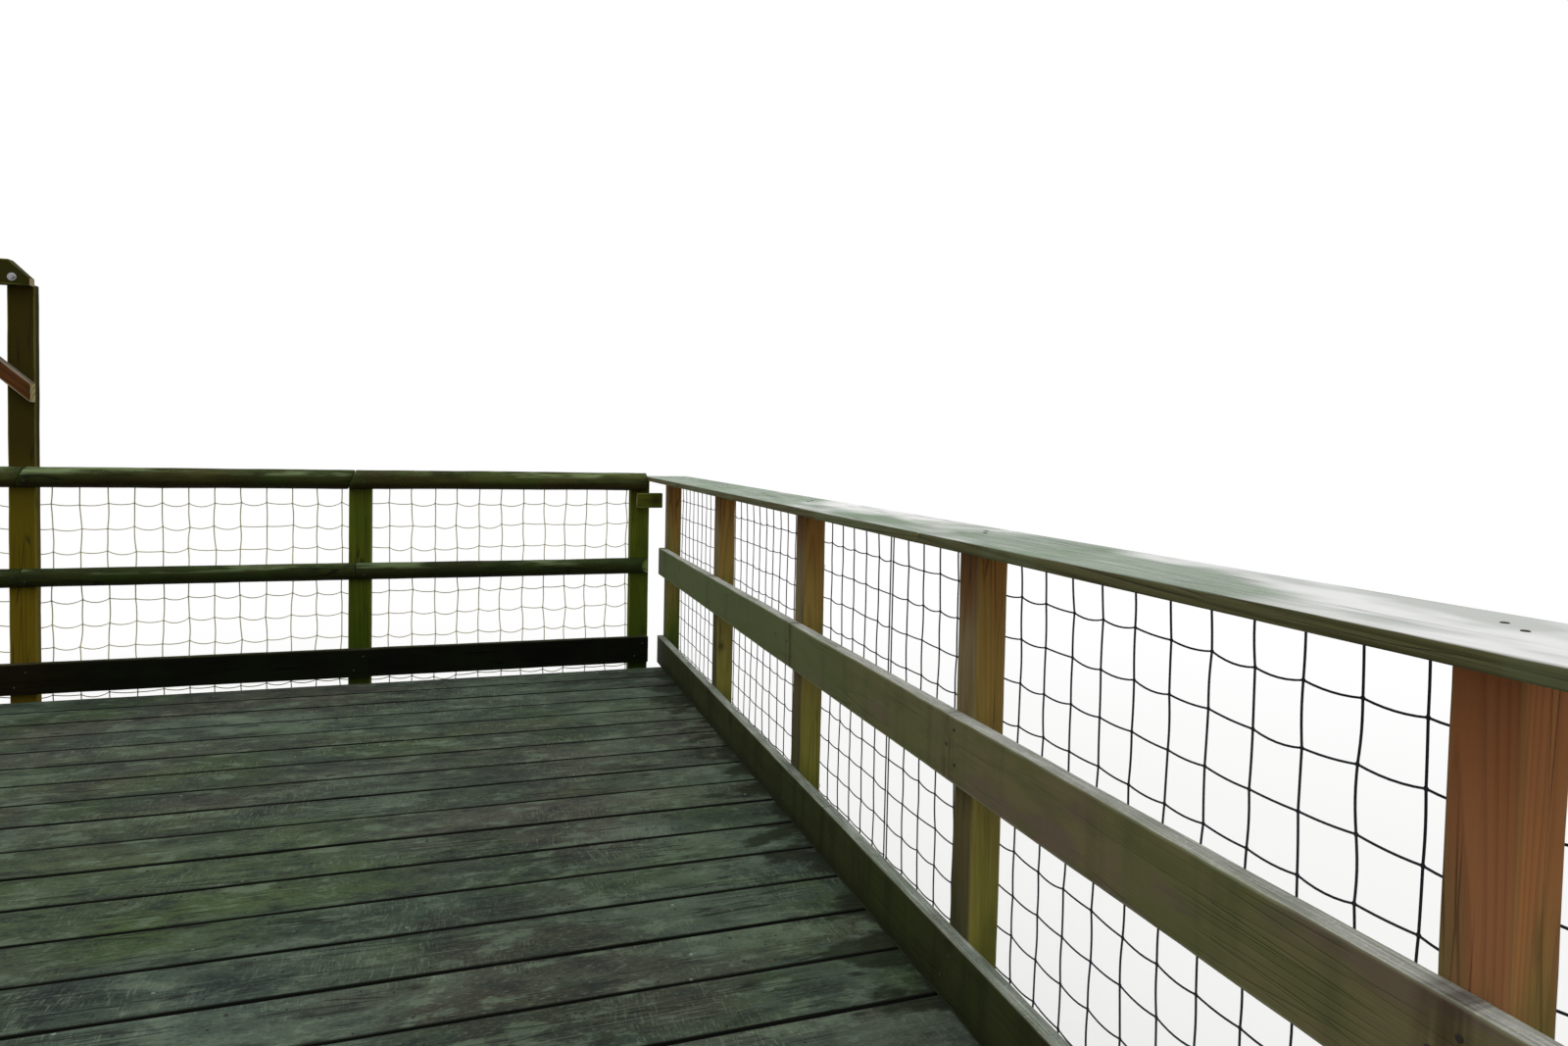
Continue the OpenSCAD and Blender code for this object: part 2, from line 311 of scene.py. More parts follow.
def wear_group():
    """Where rain and hands reach: Sky on faces that look up and Arris along rubbed edges, both broken up by
    noise, and Side on faces that look along x."""
    tree, given, result = new_group("wear", "Wood Edge", "Sky Arris Side")
    parts = parts_of(add(tree, "ShaderNodeNewGeometry")["Normal"])
    rough = noise(given["Wood"], (9.0, 60.0, 60.0), 3.0)
    up = parts[2] + (rough - 0.5) * 0.7
    arris = given["Edge"] * (0.25 + rough * 1.3)
    sky, rubbed = step(up, 0.25, 0.8), step(arris, 0.35, 0.85)
    return close_group(tree, result, Sky=sky, Arris=rubbed, Side=calc("ABSOLUTE", parts[0]))


GRAIN = grain_group()
KNOTS = knot_group()
PATCHES = patch_group()
WEAR = wear_group()


def new_material(name):
    """A material with an empty tree but for its output."""
    material = bpy.data.materials.new(name)
    material.use_nodes = True
    tree = material.node_tree
    tree.nodes.clear()
    return material, tree, tree.nodes.new("ShaderNodeOutputMaterial")


def finish_material(material, output, colour, rough, height, strength, distance, more):
    """The material with its Principled shader, bumped by the height."""
    tree = material.node_tree
    bump = add(tree, "ShaderNodeBump", {"Strength": strength, "Distance": distance, "Height": height})[0]
    keys = {"Base Color": colour, "Roughness": rough, "Normal": bump, **more}
    tree.links.new(add(tree, "ShaderNodeBsdfPrincipled", keys)[0].socket, output.inputs[0])
    return material


# A plain brown softwood, which each timber's look changes
SOFTWOOD = dict(
    ring=0.0052, contrast=0.7, streaks=0.5, fibres=0.5, knots=0.25, knot_size=0.011, saw=0.3, relief=0.0016,
    early=(122, 104, 74), late=(88, 70, 44), dark=(60, 48, 30), pale=(142, 124, 92), knot=(52, 34, 20),
    side=None, side_amount=0.0, silver=(158, 158, 148), silver_dark=(108, 108, 98), bleach=0.8, lichen=0.35,
    lichen_pale=(190, 194, 180), green=(84, 98, 56), algae=0.4, algae_scale=2.4, algae_amount=0.4, soot=0.3,
    soot_scale=4.0, soot_amount=0.5, soot_colour=(40, 38, 32), arris=(170, 162, 140), arris_amount=0.5,
    splits=0.8, crack=(20, 17, 12), cut=(150, 132, 98), cut_dark=(96, 78, 52), lots=0.3, rough=0.92,
    shine=0.25,
)


def wood_material(name, layer=None, **changes):
    """Timber: ring and fibre colours, knots, splits, then weathering with lichen specks, algae, soot,
    arrises and end grain over them. A timber may add one layer of its own before the arrises, which may
    also change the height that the bump takes."""
    look = Values(**{**SOFTWOOD, **changes})
    material, tree, output = new_material(name)
    wood = add(tree, "ShaderNodeAttribute", attribute_name="wood")["Vector"]
    marks = ("edge", "lot", "end")
    edge, lot, end = (add(tree, "ShaderNodeAttribute", attribute_name=mark)["Fac"] for mark in marks)
    place = add(tree, "ShaderNodeTexCoord")["Object"]
    grain = use(GRAIN, Wood=wood, Ring=look.ring)
    knots = use(KNOTS, Wood=wood, Share=look.knots, Size=look.knot_size)
    wear = use(WEAR, Wood=wood, Edge=edge)
    algae = use(PATCHES, Place=place, Scale=look.algae_scale, Cover=look.algae)["Mask"]
    moved = arrow("ADD", place, (7.3, 3.1, 5.7))
    soot = use(PATCHES, Place=moved, Scale=look.soot_scale, Cover=look.soot)["Mask"]
    broken = soot * step(grain["Streak"], 0.36, 0.6)

    rings = grain["Rings"] * look.contrast + knots["Whorl"] * 0.3
    at = Coats(place=place, wood=wood, rings=rings, lot=lot, sky=wear["Sky"], side=wear["Side"])
    at.colour = mix(rings, look.early, look.late)
    at.daub(grain["Streak"], (0.42, 0.75, look.streaks, look.dark))
    at.daub(grain["Fibre"], (0.5, 0.78, look.fibres, look.dark), (0.46, 0.22, look.fibres, look.pale))
    at.coat(knots["Halo"] * 0.5, look.dark)
    at.coat(knots["Core"] * 0.85, look.knot)
    at.coat(at.side * look.side_amount, look.side or look.early)
    silver = Coats(colour=mix(step(grain["Fibre"], 0.34, 0.62), look.silver, look.silver_dark))
    silver.coat(rings * 0.45, look.silver_dark)
    lichen = noise(place, 150.0, 4.0, 0.7)
    silver.daub(lichen, (0.54, 0.7, look.lichen, look.lichen_pale))
    silver.daub(lichen, (0.46, 0.32, look.lichen, look.silver_dark))
    at.coat(at.sky * look.bleach, silver.colour)
    at.coat(algae * look.algae_amount, look.green)
    at.coat(broken * look.soot_amount, look.soot_colour)
    at.height = grain["Fibre"] * 0.55 - rings * 0.3 - grain["Split"] * 1.3
    at.height = at.height + grain["Saw"] * look.saw + knots["Core"] * 0.5
    if layer:
        layer(at)
    at.coat(wear["Arris"] * look.arris_amount, look.arris)
    at.coat(grain["Split"] * look.splits, look.crack)
    at.coat(end, mix(grain["Rings"], look.cut, look.cut_dark))
    shade = (1.0 - 0.5 * look.lots) + lot * look.lots
    tint = add(tree, "ShaderNodeCombineColor", {0: shade, 1: shade, 2: shade})[0]
    colour = mix(1.0, at.colour, tint, "MULTIPLY")
    gloss = calc("SUBTRACT", look.rough, grain["Streak"] * 0.22, clamp=True)
    shine = {"Specular IOR Level": look.shine}
    return finish_material(material, output, colour, gloss, at.height, 0.7, look.relief, shine)


# Single patches on the floor: centre, reach along x and y, amount and tone. The first, mauve-brown, is a
# painted shadow; the others are stains.
DECK_SPOTS = (
    # Painted shadow: a soft mauve-brown patch over the middle of the floor.
    ((1.53, -0.12), (0.62, 0.48), 0.6, (48, 40, 36)),
    ((0.4, 0.75), (0.9, 0.65), 0.35, (66, 88, 40)),
    ((0.6, 0.02), (0.4, 0.2), 0.7, (20, 30, 42)),
)


def spot(place, centre, reach):
    """A soft patch on the floor: the distance from its centre over its reach along x and y, made uneven by
    noise, as a mask that is one inside and fades out towards a distance of one."""
    away = arrow("SUBTRACT", place, (centre[0], centre[1], 0.0))
    away = reach_of(stretch(away, (1 / reach[0], 1 / reach[1], 0.0)))
    uneven = noise(place, (3.0, 6.0, 1.0), 4.0, 0.6)
    return step(away + (uneven - 0.5) * 1.4, 1.0, 0.5)


def deck_layer(at):
    """The plank floor: a few mauve-brown boards and a few darker ones, wide bluish and brown zones, a single
    mauve-brown patch of painted shadow, single green and blue-black spots, broad pale and dark patches,
    smaller soft smudges, a fine speckle, thin threads along the boards, faint scuffs whose direction
    wanders, paler patches towards the sides, damp black-green blotches where the boards' ends meet the toe
    boards, small dark holes and rare pale dabs, stains round the screws, whose places repeat at the joists
    and twice a board, and painted shade in the gaps: every face that does not look up is near black."""
    place = at.place
    tree = place.tree
    where = parts_of(place)
    at.daub(at.lot, (0.6, 0.95, 0.3, (68, 62, 56)), (0.35, 0.05, 0.4, (40, 50, 42)))
    zone = noise(place, (0.75, 1.0, 1.0), 3.0)
    at.daub(zone, (0.52, 0.64, 0.6, (58, 72, 66)), (0.47, 0.36, 0.5, (72, 66, 58)))
    for centre, reach, amount, tone in DECK_SPOTS:
        at.coat(spot(place, centre, reach) * amount, tone)
    at.daub(noise(place, (1.1, 1.9, 1.0), 3.0, 0.6), (0.5, 0.66, 0.5, (96, 112, 94)))
    at.daub(noise(place, (2.3, 4.1, 1.0), 3.0, 0.6), (0.44, 0.62, 0.55, (36, 46, 38)))
    smudge = noise(place, (8.5, 15.0, 1.0), 5.0, 0.66)
    at.daub(smudge, (0.53, 0.63, 0.62, (28, 36, 34)), (0.47, 0.36, 0.5, (98, 114, 94)))
    speck = noise(place, (62.0, 150.0, 1.0), 5.0, 0.78)
    at.daub(speck, (0.52, 0.7, 0.5, (106, 118, 98)), (0.48, 0.3, 0.6, (24, 30, 22)))
    lines = noise(place, (5.0, 230.0, 1.0), 3.0, 0.6)
    lined = smear(place, (1.7, 6.5, 1.0), 0.45, 0.6)
    at.coat(step(lines, 0.54, 0.7) * lined * 0.5, (24, 29, 22))
    at.coat(step(lines, 0.45, 0.3) * lined * 0.4, (108, 120, 102))
    drift = noise(place, (3.1, 4.3, 1.0), output="Color")
    bent = arrow("ADD", place, stretch(drift, (0.05, 0.05, 0.0)))
    scuff = smear(bent, (190.0, 22.0, 1.0), 0.53, 0.68) * smear(place, (1.9, 3.6, 1.0), 0.46, 0.62)
    at.coat(scuff * 0.34, (122, 134, 114))
    scuff = smear(bent, (34.0, 120.0, 1.0), 0.57, 0.7) * smear(place, (2.9, 2.1, 1.0), 0.46, 0.6)
    at.coat(scuff * 0.5, (28, 34, 28))
    side = calc("ABSOLUTE", where[0])
    blotch = noise(place, (5.2, 8.6, 1.0), 4.0, 0.6) + (side - 2.26) * 0.75
    pale = step(side, 1.6, 2.0) * smear(place, (2.2, 5.0, 1.0), 0.4, 0.6)
    at.coat(pale * 0.2, (100, 118, 100))
    damp = step(blotch, 0.5, 0.62) * step(side, 1.85, 2.2)
    at.coat(damp * 0.82, (22, 28, 12))
    keys = {"Vector": place, "Scale": 26.0}
    cells = add(tree, "ShaderNodeTexVoronoi", keys, voronoi_dimensions="2D")
    draw = add(tree, "ShaderNodeSeparateColor", {0: cells["Color"]})
    hole = calc("LESS_THAN", cells["Distance"], 0.085) * calc("LESS_THAN", draw[0], 0.09)
    at.coat(hole * 0.85, (14, 16, 12))
    dab = calc("LESS_THAN", cells["Distance"], 0.12) * calc("GREATER_THAN", draw[1], 0.996)
    at.coat(dab * 0.5, (150, 158, 150))
    across = off_nearest(where[0], JOIST_STEP)
    along = calc("ABSOLUTE", off_nearest(BACK_BOARD_MIDDLE - where[1], BOARD_PITCH)) - SCREW_SPREAD
    far = calc("SQRT", across * across * 0.35 + along * along)
    stain = step(far, 0.024, 0.004) * smear(place, (5.0, 5.0, 1.0), 0.42, 0.62)
    at.coat(stain * 0.6, (22, 25, 20))
    # Painted shade: every face that does not look up, the board sides in the gaps and the undersides, is
    # coloured near black.
    facing = parts_of(add(tree, "ShaderNodeNewGeometry")["Normal"])[2]
    at.coat(step(facing, 0.75, 0.4), (7, 9, 5))
    at.height = at.height + speck * 0.5


def post_layer(at):
    """Guard posts: red-brown and dry from the side rail up, with painted shade making the top darker and
    redder under the handrail, redder where the lot is high, with the faces across the deck duller, olive
    with algae towards the deck, and darkest where the toe board keeps the foot damp."""
    up = parts_of(at.place)[2]
    wander = noise(at.wood, (2.5, 28.0, 28.0))
    up = up + (wander - 0.5) * 0.5
    dry = mix(at.rings, (128, 100, 48), (98, 68, 28))
    dry = mix(at.side, dry, mix(at.rings, (128, 112, 82), (104, 86, 62)))
    # Painted shade: the top of each post, under the handrail, darker and redder.
    dry = mix(step(up, 3.28, 3.46) * 0.75, dry, mix(at.rings, (122, 74, 32), (92, 48, 18)))
    dry = mix(step(at.lot, 0.8, 0.9) * 0.8, dry, mix(at.rings, (156, 92, 56), (124, 64, 38)))
    at.coat(step(up, 2.95, 3.3) * 0.8, dry)
    low = mix(at.side, (90, 94, 30), (40, 46, 30))
    green = step(at.lot, 0.3, 0.15) * 0.9
    low = mix(green, low, (34, 60, 0))
    amount = 0.7 + green * 0.25
    at.coat(step(up, 3.05, 2.5) * amount, low)
    at.daub(up, (2.66, 2.5, 0.4, (36, 40, 14)))


def toe_layer(at):
    """Side toe boards: dark wet stains that run down the face and green along the foot."""
    runs = smear(at.place, (1.0, 13.0, 1.6), 0.46, 0.62) * (0.9 - at.sky * 0.7)
    at.coat(runs * 0.4, (22, 24, 8))
    at.daub(parts_of(at.place)[2], (2.47, 2.4, 0.7, (17, 22, 8)))


def side_rail_layer(at):
    """Side rails: greener towards the back, with mauve and mossy blotches on the face, faint vertical water
    marks and a dark stain at every post, as far apart as the posts."""
    along = parts_of(at.place)[1]
    face = 1.0 - at.sky
    back = step(along, -1.2, 1.4) * face * 0.6
    at.coat(back, (64, 88, 46))
    mauve = smear(at.place, (1.0, 2.6, 9.0), 0.5, 0.6) * face * (0.6 - back)
    at.coat(mauve, (96, 80, 72))
    moss = smear(at.place, (1.0, 4.0, 14.0), 0.5, 0.62)
    at.coat(moss * face * 0.4, (76, 84, 46))
    gap = calc("ABSOLUTE", off_nearest(along - POST_ROW[0], POST_ROW[0] - POST_ROW[1]))
    runs = smear(at.place, (1.0, 22.0, 2.0), 0.42, 0.6)
    at.coat(step(gap, 0.055, 0.012) * runs * 0.7, (56, 40, 26))
    marks = smear(at.place, (1.0, 9.0, 1.0), 0.5, 0.66)
    at.coat(marks * face * 0.25, (60, 60, 40))


def handrail_layer(at):
    """Handrails: painted sunlight makes the top almost white in wide soft patches, more towards the open
    front end; duller and greener elsewhere, and the edges brown."""
    along = parts_of(at.place)[1]
    # Painted sunlight: pale, almost white patches on the top, more of them towards the front end.
    soft = noise(at.place, (2.6, 0.9, 1.0), 3.0) + step(along, -0.7, -2.0) * 0.24
    pale = step(soft, 0.54, 0.68) * at.sky
    at.coat(pale * 0.85, (240, 239, 238))
    at.coat(at.side * 0.5, (52, 52, 26))
    dull = smear(at.place, (5.0, 2.2, 1.0), 0.47, 0.62) * at.sky
    at.coat(dull * 0.4, (104, 118, 100))


def back_post_layer(at):
    """Fence posts: the tall ones, marked by their lot, are browner and warmer below the middle rail, and
    the others are greener towards the deck. All darken above the top rail with painted deep shade."""
    up = parts_of(at.place)[2]
    tall = step(at.lot, 0.6, 0.7)
    at.coat(tall * 0.75, (84, 68, 2))
    at.coat(tall * step(up, 3.1, 2.85) * 0.4, (104, 84, 16))
    # Painted shade: near black above the top rail.
    at.daub(up, (3.25, 3.7, 0.85, (33, 28, 1)))
    low = (1.0 - tall) * (step(up, 3.2, 2.5) * 0.65)
    at.coat(low, (34, 54, 0))


def back_toe_layer(at):
    """The fence's toe board: near black, partly its own colour and partly painted deep shade, and browner
    towards the left in broken patches.
    """
    across = parts_of(at.place)[0]
    brown = smear(at.place, (2.2, 1.0, 9.0), 0.36, 0.56) * step(across, -0.3, -1.6)
    at.coat(brown * 0.75, (46, 27, 12))


def pole_layer(at):
    """Half-round rails: reddish underneath, darker there partly by painted shade, with broad pale rubbed
    patches on top and red-brown blotches all round. The middle rail is darker, and the top rail has worn
    patches on its upper half."""
    up = parts_of(add(at.place.tree, "ShaderNodeNewGeometry")["Normal"])[2]
    # Partly painted shade: the undersides darker.
    at.daub(up, (-0.1, -0.8, 0.5, (40, 26, 6)))
    rubbed = smear(at.wood, (2.1, 14.0, 14.0), 0.5, 0.62) * step(up, 0.15, 0.7)
    at.coat(rubbed * 0.75, (124, 140, 98))
    bark = smear(at.wood, (3.4, 9.0, 9.0), 0.52, 0.66)
    at.coat(bark * 0.5, (44, 32, 12))
    level = parts_of(at.place)[2]
    at.daub(level, (3.3, 3.2, 0.42, (20, 34, 3)))
    worn = step(level, 3.3, 3.4) * smear(at.wood, (1.6, 5.0, 5.0), 0.46, 0.6) * step(up, -0.4, 0.0)
    at.coat(worn * 0.3, (84, 88, 44))


def cord_material(name, pale, dark, dirt):
    """Two-strand cord: the vector attribute cord holds the cosine and sine of the way round and the length,
    turned by the length so that the strands wind; moss and dirt come and go along it."""
    material, tree, output = new_material(name)
    cord = parts_of(add(tree, "ShaderNodeAttribute", attribute_name="cord")["Vector"])
    turn = cord[2] * 330.0
    strand = calc("ABSOLUTE", cord[0] * calc("COSINE", turn) + cord[1] * calc("SINE", turn))
    place = add(tree, "ShaderNodeTexCoord")["Object"]
    soiled = use(PATCHES, Place=place, Scale=5.0, Cover=0.55)["Mask"]
    fuzz = noise(place, 420.0)
    colour = mix(step(strand, 0.1, 0.5), dark, pale)
    colour = mix(soiled * 0.55, colour, dirt)
    colour = mix(fuzz * 0.35, colour, dark)
    height = strand + fuzz * 0.4
    rough = 0.7 + fuzz * 0.25
    shine = {"Specular IOR Level": 0.3}
    return finish_material(material, output, colour, rough, height, 0.6, 0.0009, shine)


def metal_material(name, clean, rust, share, bare):
    """Zinc or iron with rust in patches: the rust is rough and not metallic, the rest dull metal."""
    material, tree, output = new_material(name)
    place = add(tree, "ShaderNodeTexCoord")["Object"]
    mask = use(PATCHES, Place=place, Scale=70.0, Cover=share)["Mask"]
    spangle = noise(place, 260.0)
    colour = mix(mask, mix(spangle, clean, bare), rust)
    metal = {"Metallic": (1.0 - mask) * 0.85}
    rough = 0.45 + mask * 0.45
    return finish_material(material, output, colour, rough, spangle + mask, 0.5, 0.0005, metal)


# Places taken from the frame


def low_high(node):
    """The two corners of a CAD node as arrays."""
    low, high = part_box(node)
    return np.array(low), np.array(high)


BOARD_LOW, BOARD_HIGH = low_high("deck_boards")
BOARD_COUNT = 28
BOARD_GAP = 0.012
BOARD_PITCH = float((BOARD_HIGH[1] - BOARD_LOW[1] + BOARD_GAP) / BOARD_COUNT)
BOARD_WIDTH = BOARD_PITCH - BOARD_GAP
BACK_BOARD_MIDDLE = float(BOARD_HIGH[1]) - BOARD_WIDTH / 2
SCREW_SPREAD = 0.062
JOIST_COUNT = 11
JOIST_THICK = 0.047
JOIST_LOW, JOIST_HIGH = low_high("joists")
JOIST_STEP = float((JOIST_HIGH[0] - JOIST_LOW[0] - JOIST_THICK) / (JOIST_COUNT - 1))
POST_BOXES = [low_high(f"right_post_{k}") for k in range(1, 7)]
POST_ROW = [float((low[1] + high[1]) / 2) for low, high in POST_BOXES]
POST_OUT = float(POST_BOXES[0][1][0])
FENCE_NODES = ("back_corner_post", "back_middle_post", "back_tall_post", "left_tall_post")
FENCE_BOXES = [low_high(name) for name in FENCE_NODES]
FENCE_ROW = [float((low[0] + high[0]) / 2) for low, high in FENCE_BOXES]
FENCE_BACK = float(FENCE_BOXES[0][1][1])
ROWS = ("front", "middle", "back")
POST_SIDE = 0.15
BEARER_THICK = 0.075
SUPPORT_OUT = float(low_high("support_posts_back")[1][0]) - POST_SIDE / 2
BRACE_REACH = 0.5
BRACE_FEET = ((-SUPPORT_OUT, 1.0), (0.0, -1.0), (0.0, 1.0), (SUPPORT_OUT, -1.0))

# Materials

DECK_WOOD = wood_material(
    "deck_wood", deck_layer, ring=0.0068, contrast=0.4, knots=0.1, knot_size=0.012, saw=0.4, relief=0.0019,
    early=(62, 71, 58), late=(47, 54, 43), dark=(28, 33, 26), pale=(82, 90, 74), knot=(28, 28, 20),
    silver=(72, 83, 71), silver_dark=(48, 56, 47), bleach=0.5, lichen=0.3, lichen_pale=(98, 108, 92),
    green=(50, 70, 24), algae=0.5, algae_scale=1.1, algae_amount=0.6, soot=0.42, soot_scale=4.5,
    soot_amount=0.6, soot_colour=(30, 34, 36), arris=(24, 27, 18), splits=0.7, crack=(14, 16, 10),
    cut=(84, 80, 62), cut_dark=(50, 46, 34), lots=0.25, rough=0.95, shine=0.15,
)
POST_WOOD = wood_material(
    "post_wood", post_layer, ring=0.0042, contrast=0.45, streaks=0.4, fibres=0.4, knots=0.2,
    early=(116, 104, 52), late=(94, 78, 34), dark=(66, 48, 22), pale=(134, 120, 70), knot=(44, 28, 14),
    side=(84, 76, 52), side_amount=0.7, bleach=0.5, green=(84, 92, 30), soot=0.2, soot_amount=0.35,
    soot_colour=(46, 38, 20), arris=(124, 112, 66), arris_amount=0.2, splits=0.5, lots=0.16, shine=0.1,
)
HANDRAIL_WOOD = wood_material(
    "handrail_wood", handrail_layer, ring=0.0046, contrast=0.8, streaks=0.4, fibres=0.45, knots=0.1,
    knot_size=0.012, saw=0.15, relief=0.0014, early=(106, 102, 66), late=(66, 63, 36), dark=(48, 48, 28),
    pale=(120, 116, 78), silver=(178, 189, 176), silver_dark=(130, 143, 128), bleach=0.97,
    green=(118, 142, 108), algae_amount=0.35, soot_scale=3.2, soot_amount=0.3, soot_colour=(96, 106, 90),
    arris=(150, 154, 136), arris_amount=0.0, splits=0.45, crack=(62, 62, 52), cut=(104, 96, 66),
    cut_dark=(70, 60, 36), lots=0.1, shine=0.15,
)
# Partly painted light: the side rail's near-white top, silver and lichen, is partly weathering and partly
# painted sunlight on its top edge.
RAIL_WOOD = wood_material(
    "rail_wood", side_rail_layer, ring=0.006, contrast=0.2, streaks=0.2, fibres=0.16, knots=0.15, saw=0.25,
    relief=0.0008, early=(104, 97, 66), late=(84, 78, 50), dark=(62, 56, 34), pale=(118, 112, 82),
    silver=(206, 208, 200), silver_dark=(150, 152, 144), bleach=1.0, lichen=0.5,
    lichen_pale=(238, 236, 228), green=(76, 88, 46), algae=0.35, algae_amount=0.3, soot=0.25,
    soot_amount=0.25, soot_colour=(56, 52, 34), arris=(160, 164, 136), arris_amount=0.3, splits=0.12,
    lots=0.14, shine=0.15,
)
TOE_SIDE_WOOD = wood_material(
    "toe_side_wood", toe_layer, ring=0.006, contrast=0.3, streaks=0.3, fibres=0.25, knots=0.2, saw=0.25,
    relief=0.001, early=(48, 51, 24), late=(35, 37, 14), dark=(22, 24, 8), pale=(60, 62, 36),
    silver=(158, 164, 154), silver_dark=(106, 114, 102), bleach=0.97, lichen=0.5,
    lichen_pale=(190, 194, 186), green=(34, 50, 14), algae=0.45, algae_amount=0.3, soot=0.35,
    soot_amount=0.3, soot_colour=(20, 22, 10), arris=(112, 112, 90), arris_amount=0.25, splits=0.2,
    lots=0.16, shine=0.1,
)
# Partly painted shade: the fence posts' dark olive colours are partly the timber's own and partly its deep
# shade.
BACK_POST_WOOD = wood_material(
    "back_post_wood", back_post_layer, ring=0.0075, contrast=0.5, fibres=0.4, knots=0.2, knot_size=0.012,
    early=(72, 80, 14), late=(52, 54, 8), dark=(34, 36, 5), pale=(88, 92, 24), side=(82, 88, 26),
    side_amount=0.4, silver=(132, 134, 96), silver_dark=(88, 90, 52), bleach=0.7, green=(50, 68, 10),
    algae=0.5, algae_amount=0.45, soot_amount=0.4, soot_colour=(26, 26, 6), arris=(128, 124, 56),
    arris_amount=0.35, splits=0.6, lots=0.2, shine=0.08,
)
# Partly painted shade: the rails' very dark colours are partly the timber's own and partly its deep shade.
POLE_WOOD = wood_material(
    "pole_wood", pole_layer, ring=0.007, contrast=0.5, streaks=0.6, knots=0.3, knot_size=0.012,
    relief=0.002, early=(42, 44, 11), late=(28, 28, 5), dark=(16, 16, 3), pale=(56, 58, 22),
    knot=(12, 8, 3), silver=(78, 92, 50), silver_dark=(44, 52, 22), bleach=0.75, green=(38, 56, 14),
    algae=0.5, algae_amount=0.5, soot=0.5, soot_amount=0.6, soot_colour=(14, 14, 4), arris=(60, 60, 28),
    arris_amount=0.25, crack=(8, 7, 3), cut=(126, 152, 76), cut_dark=(88, 106, 48), lots=0.2, shine=0.1,
)
# Partly painted shade: the toe board's own dark colour deepened to near black.
DARK_BOARD_WOOD = wood_material(
    "dark_board_wood", back_toe_layer, ring=0.006, contrast=0.5, knots=0.2, knot_size=0.012,
    early=(12, 13, 5), late=(8, 8, 3), dark=(5, 5, 2), pale=(22, 23, 11), knot=(5, 4, 2),
    silver=(88, 88, 60), silver_dark=(44, 46, 26), green=(14, 22, 5), algae=0.5, algae_amount=0.45,
    soot=0.5, soot_amount=0.6, soot_colour=(5, 5, 2), arris=(44, 44, 24), arris_amount=0.35,
    crack=(3, 3, 1), cut=(64, 60, 38), cut_dark=(38, 34, 20), lots=0.2, shine=0.05,
)
STRUT_WOOD = wood_material(
    "strut_wood", early=(84, 46, 12), late=(58, 28, 6), dark=(40, 20, 5), pale=(100, 62, 24), bleach=0.6,
    green=(60, 62, 18), algae_amount=0.2, cut=(142, 134, 92), cut_dark=(100, 92, 56), lots=0.15, shine=0.1,
)
FRAME_WOOD = wood_material(
    "frame_wood", ring=0.007, contrast=0.6, knots=0.26, knot_size=0.014, saw=0.5, relief=0.0019,
    early=(118, 104, 76), late=(84, 70, 46), dark=(58, 50, 34), pale=(136, 122, 94), silver=(140, 140, 122),
    silver_dark=(94, 92, 74), bleach=0.6, green=(84, 96, 50), algae=0.5, algae_amount=0.45, soot=0.4,
)
# Painted shade: the side nets' cord is near black, as a net seen in shade against the light.
SHADED_DARK_CORD = cord_material("shaded_dark_cord", (38, 42, 52), (14, 16, 22), (46, 50, 38))
PALE_CORD = cord_material("pale_cord", (206, 198, 160), (140, 130, 92), (142, 146, 92))
NAIL_METAL = metal_material("nail_metal", (80, 78, 74), (36, 28, 22), 0.75, (60, 58, 55))
BOLT_METAL = metal_material("bolt_metal", (168, 170, 172), (112, 66, 34), 0.3, (128, 130, 132))

# Shapes


def dice(name, extra=0):
    """A random source that belongs to one named piece."""
    return np.random.default_rng([ord(letter) for letter in name] + [extra])


def ripple(x, source, longest, count=4):
    """A sum of sines over x, each half as long and two thirds as high as the last, in random phase, within
    -1 to 1."""
    order = np.arange(count)
    phase = source.uniform(0, 2 * np.pi, count)
    height = 0.66**order
    waves = np.sin(x[..., None] * (2 * np.pi / longest) * 2.0**order + phase)
    return (waves * height).sum(-1) / height.sum()


def sawn_profile(wide, thick, across=3, down=1, rim=0.009):
    """A rectangle taken anticlockwise: at each corner three points on a quarter circle, and between corners
    points on the straight side, the first and last a rim from the corner. A corner point is its corner plus
    the radius times push. The third and fourth arrays give each point's corner and how near an arris it
    lies."""
    half = np.array([wide / 2, thick / 2])
    signs = np.array([[1, 1], [-1, 1], [-1, -1], [1, -1]], float)
    base, push, corner, edge = [], [], [], []
    for c in range(4):
        angle = np.radians(90 * c + np.array([0.0, 45.0, 90.0]))
        base.append(np.tile(signs[c] * half, (3, 1)))
        push.append(np.stack([np.cos(angle), np.sin(angle)], 1) - signs[c])
        corner.append(np.full(3, c))
        edge.append(np.ones(3))
        start, stop = signs[c] * half, signs[(c + 1) % 4] * half
        side = np.linalg.norm(stop - start)
        count = (across if c in (0, 2) else down) + 2
        inner = np.linspace(rim, side - rim, count) / side
        base.append(start + (stop - start) * inner[:, None])
        push.append(np.zeros((count, 2)))
        corner.append(np.zeros(count, int))
        edge.append(np.where((inner < 1.01 * rim / side) | (inner > 1 - 1.01 * rim / side), 0.2, 0.0))
    return tuple(np.concatenate(lists) for lists in (base, push, corner, edge))


def half_round_profile(across, round_points=18, flat_points=5):
    """Half a circle on the -a side of its flat, which lies on a = 0: points at even angles, then down the
    flat."""
    radius = across / 2
    angle = np.radians(np.linspace(90, 270, round_points))
    arc = np.stack([np.cos(angle), np.sin(angle)], 1) * radius
    flat = np.stack([np.zeros(flat_points), np.linspace(-radius, radius, flat_points + 2)[1:-1]], 1)
    base = np.concatenate([arc, flat])
    edge = np.zeros(len(base))
    edge[[0, round_points - 1]] = 1.0
    return base, np.zeros_like(base), np.zeros(len(base), int), edge


